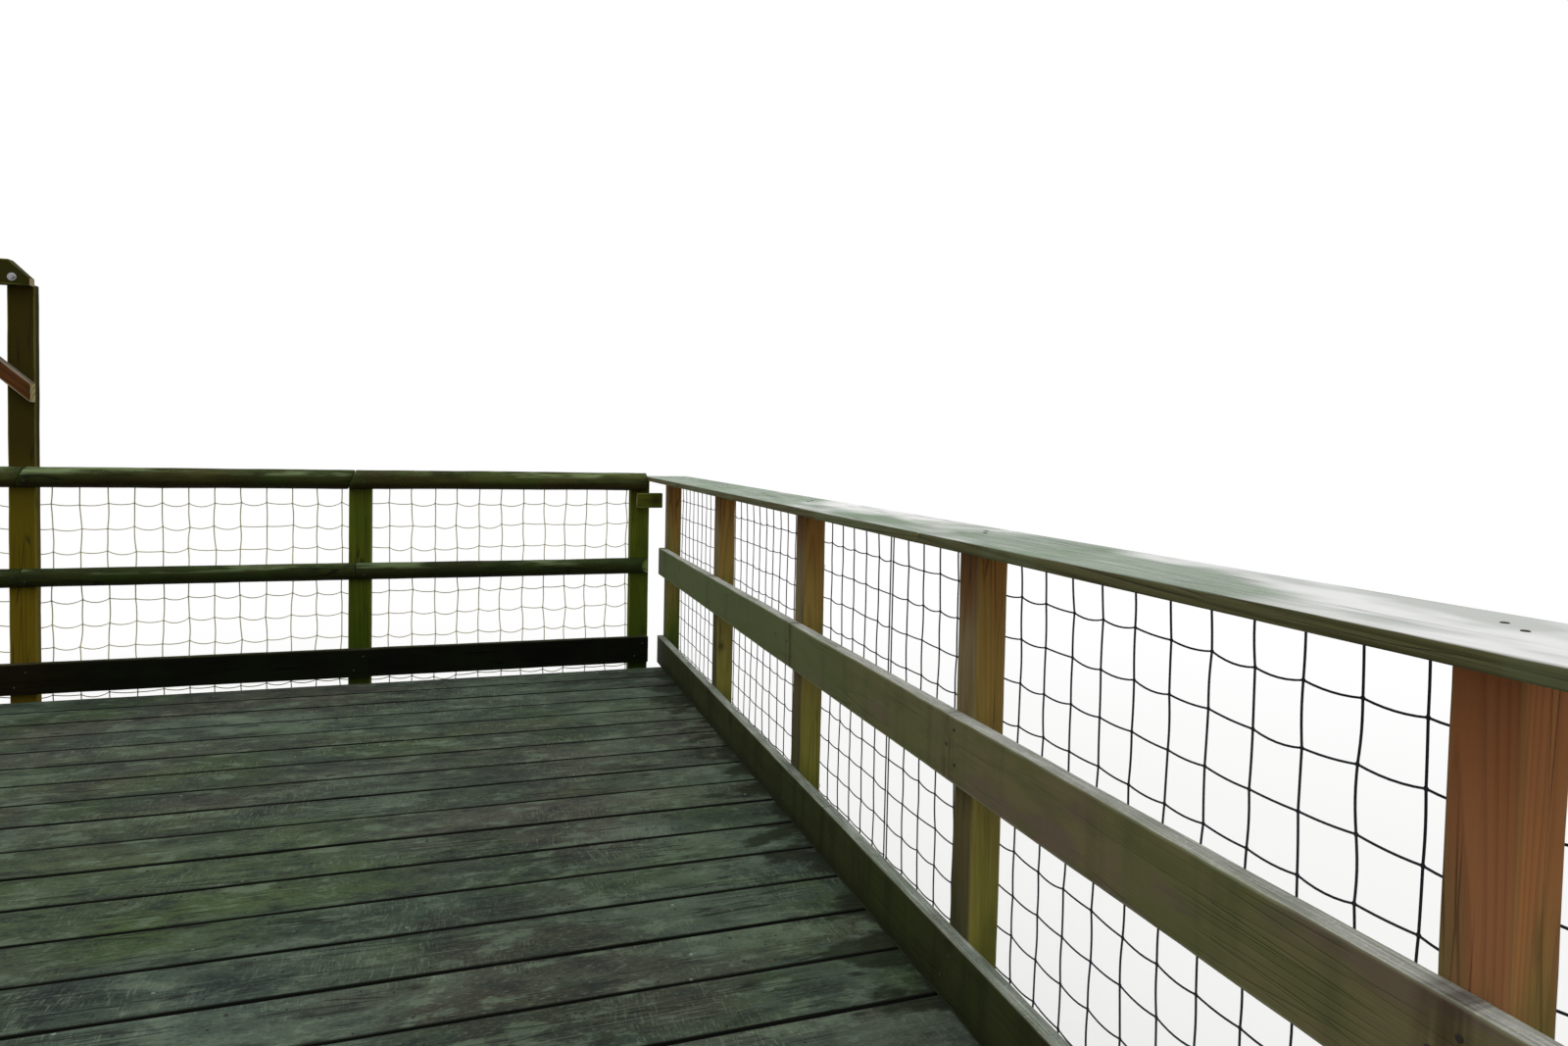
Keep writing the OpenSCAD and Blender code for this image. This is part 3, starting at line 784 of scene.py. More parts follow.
class Stock:
    """Parts of one piece, gathered before they become its mesh, with the marks that the materials read."""

    def __init__(self):
        self.points, self.vector, self.edge, self.lot = [], [], [], []
        self.faces, self.ends, self.smooth = [], [], []
        self.count = 0

    def put(self, points, vector, faces, edge=None, lot=0.5):
        """points with their marks, and faces as (array of corners, end mark, smooth)."""
        self.points.append(points)
        self.vector.append(vector)
        self.edge.append(np.zeros(len(points)) if edge is None else edge)
        self.lot.append(np.full(len(points), lot))
        for corners, end, smooth in faces:
            self.faces.append(corners + self.count)
            self.ends.append(np.full(len(corners), float(end)))
            self.smooth.append(np.full(len(corners), smooth))
        self.count += len(points)

    def build(self, name, material, mark):
        """One object from all the parts. Corner lists of different lengths follow each other in the mesh's
        loops."""
        points = np.concatenate(self.points)
        loops = np.concatenate([f.ravel() for f in self.faces]).astype(np.int32)
        sizes = np.concatenate([np.full(len(f), f.shape[1]) for f in self.faces])
        mesh = bpy.data.meshes.new(name)
        mesh.vertices.add(len(points))
        mesh.vertices.foreach_set("co", points.astype(np.float32).ravel())
        mesh.loops.add(len(loops))
        mesh.loops.foreach_set("vertex_index", loops)
        mesh.polygons.add(len(sizes))
        mesh.polygons.foreach_set("loop_start", (np.cumsum(sizes) - sizes).astype(np.int32))
        mesh.polygons.foreach_set("use_smooth", np.concatenate(self.smooth))
        mesh.update(calc_edges=True)
        marks = [(mark, "FLOAT_VECTOR", "POINT", "vector", self.vector)]
        if mark == "wood":
            marks.append(("edge", "FLOAT", "POINT", "value", self.edge))
            marks.append(("lot", "FLOAT", "POINT", "value", self.lot))
            marks.append(("end", "FLOAT", "FACE", "value", self.ends))
        for label, kind, domain, key, values in marks:
            attribute = mesh.attributes.new(label, kind, domain)
            attribute.data.foreach_set(key, np.concatenate(values).astype(np.float32).ravel())
        mesh.validate()
        mesh.materials.append(material)
        piece = bpy.data.objects.new(name, mesh)
        scene.collection.objects.link(piece)
        return piece


def finish_piece(stock, name, material, nodes=(), mark="wood"):
    """The object made, on its body, standing for its CAD nodes."""
    piece = stock.build(name, material, mark)
    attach(piece, "root")
    if nodes:
        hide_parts(*nodes)


def grid_faces(rows, columns):
    """Corners of the quads between rows of points, going on round from the last column to the first."""
    row = np.arange(rows - 1)[:, None] * columns
    column = np.arange(columns)[None, :]
    after = (column + 1) % columns
    corners = [row + column, row + after, row + columns + after, row + columns + column]
    return np.stack(corners, -1).reshape(-1, 4)


def carry(
    stock, profile, start, along, across, length, source, grain, chamfer=(0.003, 0.003), spacing=0.055,
    marks=(), radius=0.0035, wear=0.9, swell=0.0, shape=None, cup=0.0, bow=(0.0, 0.0),
    skew=((0, 0), (0, 0)), lot=None,
):
    """A profile carried straight along a timber. Each row is the profile with its arrises rounded more or
    less, bent off line by a slow ripple, and at the ends drawn in by a small chamfer; shape may move its
    points up or down by their place along, and an end may be cut on a slant, where the distance along grows
    by skew times the place in the section."""
    base, push, corner, edge = profile
    inner = np.linspace(chamfer[0], length - chamfer[1], max(3, int(length / spacing)))
    stops = np.unique(np.concatenate([[0.0, length], inner, np.asarray(marks, float)]))
    rub = np.stack([ripple(stops, source, 0.9, 5) for _ in range(4)], 1)
    radius = np.clip(radius * (1 + wear * rub), 0.0012, 3.2 * radius)[:, corner]
    half = np.abs(base).max(0)
    drawn = np.zeros((len(stops), 1, 1))
    drawn[[0, -1], 0, 0] = chamfer
    section = (base + radius[..., None] * push) * (1 - drawn / half)
    if swell:
        section = section * (1 - swell + swell * ripple(stops, source, 0.8, 4))[:, None, None]
    a, b = section[..., 0], section[..., 1]
    if shape:
        b = shape(stops[:, None], b)
    b = b - cup * (1 - (a / half[0]) ** 2)
    share = stops[:, None] / length
    lift = np.sin(np.pi * share[:, 0])
    bends = [
        (most * (lift * source.uniform(-1, 1) + 0.4 * lift * ripple(stops, source, 1.6)))[:, None]
        for most in bow
    ]
    a, b = a + bends[0], b + bends[1]
    first, last = np.asarray(skew, float)
    slope = first + (last - first) * share
    s = stops[:, None] + slope[:, :1] * a + slope[:, 1:] * b
    upright = np.cross(along, across)
    points = np.asarray(start, float) + s[..., None] * along + a[..., None] * across + b[..., None] * upright
    wood = np.stack([s, a, b], -1) + np.asarray(grain, float)
    rows, columns = a.shape
    ring = np.arange(columns)
    faces = [
        (grid_faces(rows, columns), 0, True),
        (ring[::-1][None, :], 1, False),
        (ring[None, :] + (rows - 1) * columns, 1, False),
    ]
    drawn_lot = source.uniform()
    lot = drawn_lot if lot is None else lot
    stock.put(points.reshape(-1, 3), wood.reshape(-1, 3), faces, np.tile(edge, rows), lot)


def pith(source, near=0.02, far=0.09):
    """Where the tree's middle lies from the timber's, with a long random start along it."""
    angle = source.uniform(0, 2 * np.pi)
    away = source.uniform(near, far)
    return (source.uniform(0, 40), away * math.cos(angle), away * math.sin(angle))


AXES = {"x": (X, Y), "y": (Y, -X), "z": (Z, X)}


def lay(stock, low, high, axis, source, across=3, down=2, rim=0.009, **how):
    """A timber that fills the box from low to high, its length along the named axis."""
    low, high = np.asarray(low, float), np.asarray(high, float)
    along, side = AXES[axis]
    upright = np.cross(along, side)
    size = high - low
    length = float(size @ np.abs(along))
    start = (low + high) / 2 - along * length / 2
    profile = sawn_profile(float(size @ np.abs(side)), float(size @ np.abs(upright)), across, down, rim)
    how.setdefault("grain", pith(source))
    carry(stock, profile, start, along, side, length, source, **how)


def timber(name, node, axis, source, material, slot, **how):
    """A piece of one timber that fills its CAD node's box."""
    stock = Stock()
    lay(stock, *low_high(node), axis, source, **how)
    finish_piece(stock, name, material, [node])


def in_lengths(stock, node, axis, breaks, name, **how):
    """A long board in several lengths with 3 mm between them, which meet at the breaks along its axis."""
    low, high = low_high(node)
    part = "xyz".index(axis)
    cuts = [low[part], *sorted(breaks), high[part]]
    half_gap = 0.0015
    for k in range(len(cuts) - 1):
        source = dice(name, k)
        piece_low, piece_high = low.copy(), high.copy()
        piece_low[part] = cuts[k] + (half_gap if k else 0)
        piece_high[part] = cuts[k + 1] - (half_gap if k < len(cuts) - 2 else 0)
        lay(stock, piece_low, piece_high, axis, source, grain=pith(source, 0.06, 0.16), **how)


# Plank floor


def make_deck():
    """Boards side by side from the back to the front, each a little cupped, higher or lower, and closer or
    further from its neighbour."""
    stock = Stock()
    for i in range(BOARD_COUNT):
        source = dice("deck", i)
        top = BOARD_HIGH[1] - i * BOARD_PITCH
        trim = source.uniform(0.0, 0.0016, 2) + 0.0006
        low = (BOARD_LOW[0], top - BOARD_WIDTH + trim[1], BOARD_LOW[2])
        high = (BOARD_HIGH[0], top - trim[0], BOARD_HIGH[2] - source.uniform(0.0, 0.002))
        grain = (source.uniform(0, 40), source.uniform(-0.05, 0.05), source.uniform(0.05, 0.16))
        lay(
            stock, low, high, "x", source, across=5, down=1, cup=source.uniform(0.0004, 0.0022), rim=0.005,
            bow=(0.0005, 0.0), radius=0.0026, wear=0.8, grain=grain, lot=source.uniform(), spacing=0.06,
        )
    finish_piece(stock, "deck_planks", DECK_WOOD, ["deck_boards"])


make_deck()

# Guard posts, rails, toe boards and handrails at the sides

POST_LOTS = (0.1, 0.5, 0.45, 0.6, 1.0, 0.4)
POST_CUT = dict(across=3, down=4, radius=0.003, bow=(0.0008, 0.0), spacing=0.05)
# Piece, CAD node, its dice, where its lengths meet, material, slot and cut
SIDE_BOARDS = (
    ("flat_handrail", "handrail", "handrail", [POST_ROW[3]], HANDRAIL_WOOD, "handrail_wood",
     dict(across=6, down=1, radius=0.002, wear=0.8, cup=0.001)),
    ("rail_board", "side_rail", "rail", [], RAIL_WOOD, "rail_wood",
     dict(across=1, down=5, radius=0.0025, wear=1.2, bow=(0.0, 0.0015))),
    ("kick_board", "toe_board", "toe", [POST_ROW[2] - 0.375], TOE_SIDE_WOOD, "rail_wood",
     dict(across=1, down=5, radius=0.0025, wear=1.2)),
)


def make_sides():
    """Posts on the right, one piece each, and the six on the left as one piece, mirrored in place; then the
    handrail, side rail and toe board of both sides."""
    for k, lot in enumerate(POST_LOTS):
        source = dice("right post", k)
        timber(
            f"right_guard_post_{k + 1}", f"right_post_{k + 1}", "z", source, POST_WOOD, "post_wood",
            grain=pith(source, 0.03, 0.08), lot=lot, **POST_CUT,
        )
    stock = Stock()
    for k, (low, high) in enumerate(POST_BOXES):
        source = dice("left post", k)
        left_low, left_high = (-high[0], low[1], low[2]), (-low[0], high[1], high[2])
        lay(stock, left_low, left_high, "z", source, grain=pith(source, 0.03, 0.08), **POST_CUT)
    finish_piece(stock, "left_guard_posts", POST_WOOD, ["left_posts"])
    for side in ("right", "left"):
        for piece, node, own, breaks, material, slot, cut in SIDE_BOARDS:
            stock = Stock()
            in_lengths(stock, f"{side}_{node}", "y", breaks, f"{side} {own}", **cut)
            finish_piece(stock, f"{side}_{piece}", material, [f"{side}_{node}"])


make_sides()

# Back fence

SCARF = 36.0 / 105.0
SQUARE = (0.0, 0.0)
# Piece, CAD node, and how the left and right end are cut: skew across the fence and skew up and down
POLES = (
    ("top_pole_right", "back_top_rail_right", (0.0, SCARF), SQUARE),
    ("top_pole_middle", "back_top_rail_middle", (0.0, SCARF), (0.0, SCARF)),
    ("top_pole_left", "back_top_rail_left", SQUARE, (0.0, SCARF)),
    ("mid_pole_right", "back_mid_rail_right", SQUARE, (1.0, 0.0)),
    ("mid_pole_middle", "back_mid_rail_middle", SQUARE, SQUARE),
    ("mid_pole_left", "back_mid_rail_left", (-1.0, 0.0), SQUARE),
)


def make_pole(name, node, start_skew, end_skew):
    """One length of half-round rail: the half circle swells and thins a little along it, and its ends are
    cut square, on a slant or back towards the fence."""
    low, high = low_high(node)
    source = dice(node)
    across = float(high[2] - low[2])
    start_room, end_room = (abs(skew[1]) * across / 2 for skew in (start_skew, end_skew))
    start = np.array([low[0], high[1], (low[2] + high[2]) / 2]) + X * start_room
    length = float(high[0] - low[0]) - (start_room + end_room)
    grain = (source.uniform(0, 40), source.uniform(-0.01, 0.01), source.uniform(-0.012, 0.012))
    stock = Stock()
    carry(
        stock, half_round_profile(across), start, X, Y, length, source, swell=0.022, radius=0.0, wear=0.0,
        bow=(0.0, 0.002), skew=(start_skew, end_skew), grain=grain, spacing=0.035,
    )
    finish_piece(stock, name, POLE_WOOD, [node])


def make_fence():
    """The four posts of the back fence, two of them tall, its rails, the dark toe board and the short block
    under each end of the top rail."""
    for node, lot in zip(FENCE_NODES, (0.3, 0.45, 0.8, 0.75)):
        source = dice(node)
        timber(
            node + "_timber", node, "z", source, BACK_POST_WOOD, "back_post_wood", across=4, down=4,
            radius=0.004, bow=(0.001, 0.001), grain=pith(source, 0.02, 0.07), spacing=0.05, lot=lot,
        )
    for pole in POLES:
        make_pole(*pole)
    stock = Stock()
    cut = dict(across=1, down=4, radius=0.004, wear=1.1, bow=(0.0, 0.0015))
    in_lengths(stock, "back_toe_board", "x", [], "back toe", **cut)
    finish_piece(stock, "back_kick_board", DARK_BOARD_WOOD, ["back_toe_board"])
    low, high = low_high("corner_blocks")
    stock = Stock()
    length = 0.15
    cut = dict(across=2, down=3, radius=0.003)
    for k, x in enumerate((high[0] - length, low[0])):
        ends = (x, low[1], low[2]), (x + length, high[1], high[2])
        lay(stock, *ends, "x", dice("corner block", k), **cut)
    finish_piece(stock, "corner_block_pair", BACK_POST_WOOD, ["corner_blocks"])


def brace(stock, start, direction, angle, wide, thick, length, source, **how):
    """A slanting timber in a plane across y, with a plumb cut at its foot on the post and a level cut at
    its head: the cuts are the skews tan(angle) and -1 / tan(angle)."""
    along = np.array([direction * math.cos(angle), 0.0, math.sin(angle)])
    side = np.array([-direction * math.sin(angle), 0.0, math.cos(angle)])
    how["skew"] = ((math.tan(angle), 0.0), (-1.0 / math.tan(angle), 0.0))
    how["chamfer"] = (0.0015, 0.0015)
    profile = sawn_profile(wide, thick, 3, 2)
    carry(stock, profile, start, along, side, length, source, grain=pith(source), **how)


def make_head_beam():
    """The beam on the tall posts: between a raked corner's start and the beam's end its top comes down in a
    straight line. Its struts rise at an angle, with a plumb cut on the post and a level cut under the
    beam."""
    low, high = low_high("head_beam")
    length, tall = float(high[0] - low[0]), float(high[2] - low[2])
    cut = 0.085

    def rake(s, b):
        """The height in the section, less near the ends by the way past the cut's start, most at the
        top."""
        down = np.clip(np.maximum(cut - s, s - (length - cut)), 0, cut)
        return b - (b + tall / 2) / tall * down

    timber(
        "head_beam_timber", "head_beam", "x", dice("head beam"), BACK_POST_WOOD, "back_post_wood", across=2,
        down=4, radius=0.003, marks=(cut, length - cut), shape=rake, chamfer=(0.002, 0.002),
    )
    low, high = low_high("head_beam_struts")
    angle = math.radians(42.0)
    plumb = 0.094
    length = (float(high[2] - low[2]) - plumb / 2) / math.sin(angle)
    stock = Stock()
    for k, (x, direction) in enumerate(((high[0], -1.0), (low[0], 1.0))):
        start = np.array([x, (low[1] + high[1]) / 2, low[2] + plumb / 2])
        brace(
            stock, start, direction, angle, plumb * math.cos(angle), float(high[1] - low[1]), length,
            dice("strut", k), radius=0.003,
        )
    finish_piece(stock, "head_beam_strut_pair", STRUT_WOOD, ["head_beam_struts"])


make_fence()
make_head_beam()

# Frame under the floor


def make_joists():
    """The row of joists, and the rim and header joists round it."""
    stock = Stock()
    for k in range(JOIST_COUNT):
        x = JOIST_LOW[0] + JOIST_THICK / 2 + k * JOIST_STEP
        low = (x - JOIST_THICK / 2, JOIST_LOW[1], JOIST_LOW[2])
        high = (x + JOIST_THICK / 2, JOIST_HIGH[1], JOIST_HIGH[2])
        lay(stock, low, high, "y", dice("joist", k), across=2, down=4, bow=(0.002, 0.0), spacing=0.12)
    finish_piece(stock, "joist_row", FRAME_WOOD, ["joists"])
    cut = dict(across=2, down=4, spacing=0.08)
    for node in ("rim_joist_left", "rim_joist_right", "header_joist_front", "header_joist_back"):
        axis = "y" if node.startswith("rim") else "x"
        timber(node + "_timber", node, axis, dice(node), FRAME_WOOD, "frame_wood", **cut)


def make_bearer(row):
    """A bearer whose underside rises in a slant by half its depth at each end, and the three posts under
    it, each notched to a cheek behind the bearer."""
    low, high = low_high("bearer_" + row)
    length, tall = float(high[0] - low[0]), float(high[2] - low[2])
    cut = 0.12

    def rake(s, b):
        """The height in the section, more near the ends by the way past the cut's start, most at the
        bottom."""
        up = np.clip(np.maximum(cut - s, s - (length - cut)), 0, cut) * tall / 2 / cut
        return b + (tall / 2 - b) / tall * up

    timber(
        f"bearer_{row}_timber", "bearer_" + row, "x", dice("bearer " + row), FRAME_WOOD, "frame_wood",
        across=3, down=5, marks=(cut, length - cut), shape=rake, spacing=0.1,
    )
    post_low, post_high = low_high("support_posts_" + row)
    outer = float(post_high[0]) - POST_SIDE / 2
    shoulder = float(low[2])
    lap = 0.03
    stock = Stock()
    for k, x in enumerate((-outer, 0.0, outer)):
        source = dice("support " + row, k)
        grain, lot = pith(source, 0.0, 0.03), source.uniform()
        left, right = x - POST_SIDE / 2, x + POST_SIDE / 2
        ends = (left, post_low[1], 0.0), (right, post_high[1], shoulder)
        lay(stock, *ends, "z", source, across=5, down=5, radius=0.006, grain=grain, lot=lot, spacing=0.07)
        ends = (left, post_low[1] + BEARER_THICK, shoulder - lap), (right, post_high[1], post_high[2])
        grain = (grain[0], grain[1], grain[2] + BEARER_THICK / 2)
        cut = dict(across=5, down=3, radius=0.004, chamfer=(0.0, 0.002))
        lay(stock, *ends, "z", source, grain=grain, lot=lot, **cut)
    finish_piece(stock, "support_row_" + row, FRAME_WOOD, ["support_posts_" + row])


def make_knee_braces():
    """Braces at 45 degrees from the support posts up to the bearers, four to a row."""
    top = float(low_high("knee_braces")[1][2])
    width = 0.1
    run = width * math.sqrt(2)
    length = (BRACE_REACH + run / 2) * math.sqrt(2)
    stock = Stock()
    for r, row in enumerate(ROWS):
        low, high = low_high("bearer_" + row)
        for k, (x, direction) in enumerate(BRACE_FEET):
            start = (x + direction * POST_SIDE / 2, (low[1] + high[1]) / 2, top - BRACE_REACH - run / 2)
            source = dice("brace", 4 * r + k)
            brace(stock, start, direction, math.radians(45.0), width, BEARER_THICK, length, source)
    finish_piece(stock, "knee_brace_set", FRAME_WOOD, ["knee_braces"])


make_joists()
for row in ROWS:
    make_bearer(row)
make_knee_braces()

# Cord nets


def repeated(corners, places, count):
    """The corner lists of one part, again for each of the places, where a part has count points."""
    offset = (np.arange(places) * count)[:, None, None]
    return (corners[None] + offset).reshape(-1, corners.shape[-1])


def tube(stock, path, first, second, radius, along, sides=6):
    """A round cord on each of several paths (cords, points, 3): at every point a ring of cosine times first
    plus sine times second, and its two ends closed."""
    angle = np.arange(sides) * 2 * np.pi / sides
    ring = np.cos(angle)[:, None] * first + np.sin(angle)[:, None] * second
    cords, rows = path.shape[:2]
    points = path[:, :, None, :] + radius * ring
    mark = np.empty(points.shape)
    mark[..., 0] = np.cos(angle)
    mark[..., 1] = np.sin(angle)
    mark[..., 2] = along[:, :, None]
    way = np.arange(sides)[None]
    parts = ((grid_faces(rows, sides), True), (way[:, ::-1], False), (way + (rows - 1) * sides, False))
    faces = [(repeated(corners, cords, rows * sides), 0, smooth) for corners, smooth in parts]
    stock.put(points.reshape(-1, 3), mark.reshape(-1, 3), faces)


def knots_at(stock, centres, radius, axes):
    """A knot at each centre: a small ball of four rows of six points with its two poles, wider across the
    net."""
    sides = 6
    tilt = np.radians([-60.0, -20.0, 20.0, 60.0])[:, None]
    turn = np.arange(sides) * 2 * np.pi / sides
    rings = (np.cos(tilt) * np.cos(turn), np.cos(tilt) * np.sin(turn), np.sin(tilt) * np.ones(sides))
    unit = np.concatenate([np.stack(rings, -1).reshape(-1, 3), [[0, 0, -1.0], [0, 0, 1.0]]])
    points = (centres[:, None, :] + (unit * radius) @ axes).reshape(-1, 3)
    way = np.arange(sides)
    low = np.stack([np.full(sides, 4 * sides), (way + 1) % sides, way], -1)
    high = np.stack([np.full(sides, 4 * sides + 1), 3 * sides + way, 3 * sides + (way + 1) % sides], -1)
    faces = [
        (repeated(corners, len(centres), len(unit)), 0, True)
        for corners in (grid_faces(4, sides), np.concatenate([low, high]))
    ]
    mark = np.tile(unit * [1.0, 1.0, 0.01], (len(centres), 1))
    stock.put(points, mark, faces)


def make_net(name, node, right, outward, plane, inset, cell, radius, sag, slack, material, slot):
    """A knotted net over its CAD node's box, an inset in from its sides and a rise from its top and bottom:
    knots on a grid moved a little about, upright cords through them that weave from side to side, and cross
    cords that hang between knots by the sag as 4 t (1 - t). It bellies outward between its fixings, and a
    thicker cord runs along its top and bottom."""
    source = dice(name)
    low, high = low_high(node)
    rise = 0.004
    width, height = float((high - low) @ right) - 2 * inset, float(high[2] - low[2]) - 2 * rise
    corner = low * right + right * inset + plane + Z * (low[2] + rise)
    columns, rows = int(round(width / cell)), int(round(height / cell))
    u = np.linspace(0, width, columns + 1)[:, None] * np.ones(rows + 1)
    v = np.linspace(0, height, rows + 1)[None, :] * np.ones((columns + 1, 1))
    inside = np.ones((columns + 1, rows + 1))
    inside[[0, -1], :] = 0
    inside[:, [0, -1]] *= 0.25
    wide = ripple(u * 0.9 + v * 0.35, source, 2.1, 4)
    u = u + inside * (slack * source.uniform(-1, 1, u.shape) + slack * 1.1 * wide)
    v = v + inside * (slack * source.uniform(-1, 1, v.shape) + slack * 1.3 * ripple(u, source, 1.7, 4))
    belly = 0.004 * inside * (1 + ripple(u + 0.7 * v, source, 1.9, 3))
    knots = corner + u[..., None] * right + v[..., None] * Z + belly[..., None] * outward
    t = np.arange(6) / 6

    def strand(ends, sway, drop):
        """Points from knot to knot along the second axis of ends, swaying by a half sine and dropping by
        the sag."""
        start, stop = ends[:, :-1, None, :], ends[:, 1:, None, :]
        line = start + (stop - start) * t[None, None, :, None]
        line = line + sway[..., None, None] * np.sin(np.pi * t)[None, None, :, None] * right
        line = line - (drop[..., None] * 4 * t * (1 - t))[..., None] * Z
        line = line.reshape(len(ends), -1, 3)
        return np.concatenate([line, ends[:, -1:, :]], 1)

    def lengths(path):
        """The distance along each path at its points."""
        steps = np.linalg.norm(np.diff(path, axis=1), axis=-1)
        return np.concatenate([np.zeros((len(path), 1)), np.cumsum(steps, 1)], 1)

    stock = Stock()
    sway = 0.03 * cell * source.uniform(-1, 1, (columns + 1, rows))
    sway[[0, -1]] = 0
    upright = strand(knots, sway, np.zeros((columns + 1, rows)))
    tube(stock, upright, right, outward, radius, lengths(upright))
    drop = sag * source.uniform(0.2, 1.5, (rows + 1, columns))
    drop[[0, -1]] *= 0.25
    level = strand(knots.transpose(1, 0, 2), np.zeros((rows + 1, columns)), drop)
    tube(stock, level, outward, Z, radius * 0.92, lengths(level))
    axes = np.stack([right, np.array(outward, float), Z])
    knots_at(stock, knots.reshape(-1, 3), np.array([2.1, 1.5, 1.8]) * radius, axes)
    for edge_row in (0, -1):
        path = level[[edge_row]] + outward * radius * 0.6
        tube(stock, path, outward, Z, radius * 1.7, lengths(path))
    finish_piece(stock, name, material, [node], "cord")


def make_nets():
    """Nets outside the guard posts of both sides, in two lengths each, painted near black as nets in shade,
    and the pale net behind the fence."""
    knots = dict(inset=0.0068, cell=0.098, radius=0.0021, sag=0.005, slack=0.003)
    for side, out in (("right", X), ("left", -X)):
        for part in ("back", "front"):
            node = f"{side}_mesh_{part}"
            plane = out * (np.abs(np.array(low_high(node))[:, 0]).min() + 0.0023)
            name = f"{side}_net_{part}"
            make_net(name, node, Y, out, plane, material=SHADED_DARK_CORD, slot="side_net_cord", **knots)
    knots = dict(inset=0.003, cell=0.12, radius=0.0027, sag=0.013, slack=0.006)
    plane = Y * (low_high("back_net")[0][1] + 0.0028)
    make_net("back_cord_net", "back_net", X, Y, plane, material=PALE_CORD, slot="net_cord", **knots)


make_nets()

# Screws, nails, bolts and staples

# Rings of (radius, height) up each turned part
SCREW = [(0.0046, -0.004), (0.0046, 0.0004), (0.0030, -0.0002)]
NAIL = [(0.0052, -0.003), (0.0052, 0.0006), (0.0036, 0.0011)]
WASHER = [(0.019, -0.001), (0.019, 0.0025), (0.0175, 0.003)]
BOLT_HEAD = [(0.0125, 0.002), (0.0125, 0.0095), (0.0105, 0.0112)]
NAIL_DRIFT = 0.003
SCREW_DRIFT = 0.004
# How far beside a post's middle each bolt sits, and its height
POST_BOLTS = ((-0.02, 2.228), (0.02, 2.318))


def stamp(stock, places, facing, up, rings, sides):
    """A small turned part at each place: rings of (radius, height) points round the facing line, closed at
    the foot by one face and at the top by a middle point."""
    facing, up = np.asarray(facing, float), np.asarray(up, float)
    across = np.cross(up, facing)
    angle = (np.arange(sides) + 0.5) * 2 * np.pi / sides
    circle = np.cos(angle)[:, None] * across + np.sin(angle)[:, None] * up
    rows = np.concatenate([circle * r + facing * h for r, h in rings] + [(facing * rings[-1][1])[None]])
    places = np.asarray(places, float)
    points = (places[:, None] + rows[None]).reshape(-1, 3)
    way = np.arange(sides)
    last = (len(rings) - 1) * sides
    top = np.stack([np.full(sides, last + sides), last + way, last + (way + 1) % sides], -1)
    faces = [
        (repeated(corners, len(places), len(rows)), 0, False)
        for corners in (grid_faces(len(rings), sides), way[::-1][None], top)
    ]
    stock.put(points, points, faces)


def make_screws():
    """Two screw heads in each deck board over every joist, sunk a little, each a few millimetres off."""
    source = dice("screws")
    xs = JOIST_LOW[0] + JOIST_THICK / 2 + JOIST_STEP * np.arange(JOIST_COUNT)
    ys = BACK_BOARD_MIDDLE - BOARD_PITCH * np.arange(BOARD_COUNT)
    grid = np.stack(np.meshgrid(xs, ys, [-1.0, 1.0], indexing="ij"), -1).reshape(-1, 3)
    places = np.empty_like(grid)
    places[:, 0] = grid[:, 0] + source.normal(0, SCREW_DRIFT, len(grid))
    places[:, 1] = grid[:, 1] + grid[:, 2] * SCREW_SPREAD + source.normal(0, SCREW_DRIFT, len(grid))
    places[:, 2] = BOARD_HIGH[2] - 0.0016
    stock = Stock()
    stamp(stock, places, Z, Y, SCREW, 8)
    finish_piece(stock, "deck_screws", NAIL_METAL, mark="cord")


def make_nails():
    """Nail heads: on the side rails and toe boards at every post, in the handrails over the posts, and on
    the back rails and toe board at the fence posts."""
    source = dice("nails")
    stock = Stock()
    rail_low, rail_high = low_high("right_side_rail")
    toe_low, toe_high = low_high("right_toe_board")
    hand_top = low_high("right_handrail")[1][2] - 0.0006
    # Face across the deck, place beside the post's middle, height
    face = [
        (rail_low[0], -0.022, rail_low[2] + 0.04),
        (rail_low[0], 0.02, rail_low[2] + 0.088),
        (rail_low[0], -0.018, rail_high[2] - 0.036),
        (toe_low[0], 0.02, toe_low[2] + 0.05),
        (toe_low[0], -0.02, toe_high[2] - 0.045),
    ]
    top = [(POST_BOXES[0][0][0] + dx, dy, hand_top) for dx, dy in ((0.02, -0.024), (0.055, 0.022))]
    for sign in (1.0, -1.0):
        sides = ((face, -sign * X, Z, [0, 1, 1]), (top, Z, Y, [1, 1, 0]))
        for group, facing, up, free in sides:
            places = np.array([(sign * x, y + dy, z) for y in POST_ROW for x, dy, z in group])
            places = places + source.normal(0, NAIL_DRIFT, (len(places), 3)) * free
            stamp(stock, places, facing, up, NAIL, 8)
    board_low, board_high = low_high("back_toe_board")
    places = []
    for x in FENCE_ROW:
        for node in ("back_top_rail_middle", "back_mid_rail_middle"):
            low, high = low_high(node)
            radius = (high[2] - low[2]) / 2
            for dx, dz in ((-0.026, 0.012), (0.024, -0.014)):
                front = low[1] + radius - math.sqrt(radius**2 - dz**2) + 0.0006
                places.append((x + dx, front, (low[2] + high[2]) / 2 + dz))
        for dx, z in ((-0.025, board_low[2] + 0.04), (0.022, board_high[2] - 0.04)):
            places.append((x + dx, board_low[1], z))
    stamp(stock, places, -Y, Z, NAIL, 8)
    finish_piece(stock, "nail_heads", NAIL_METAL, mark="cord")


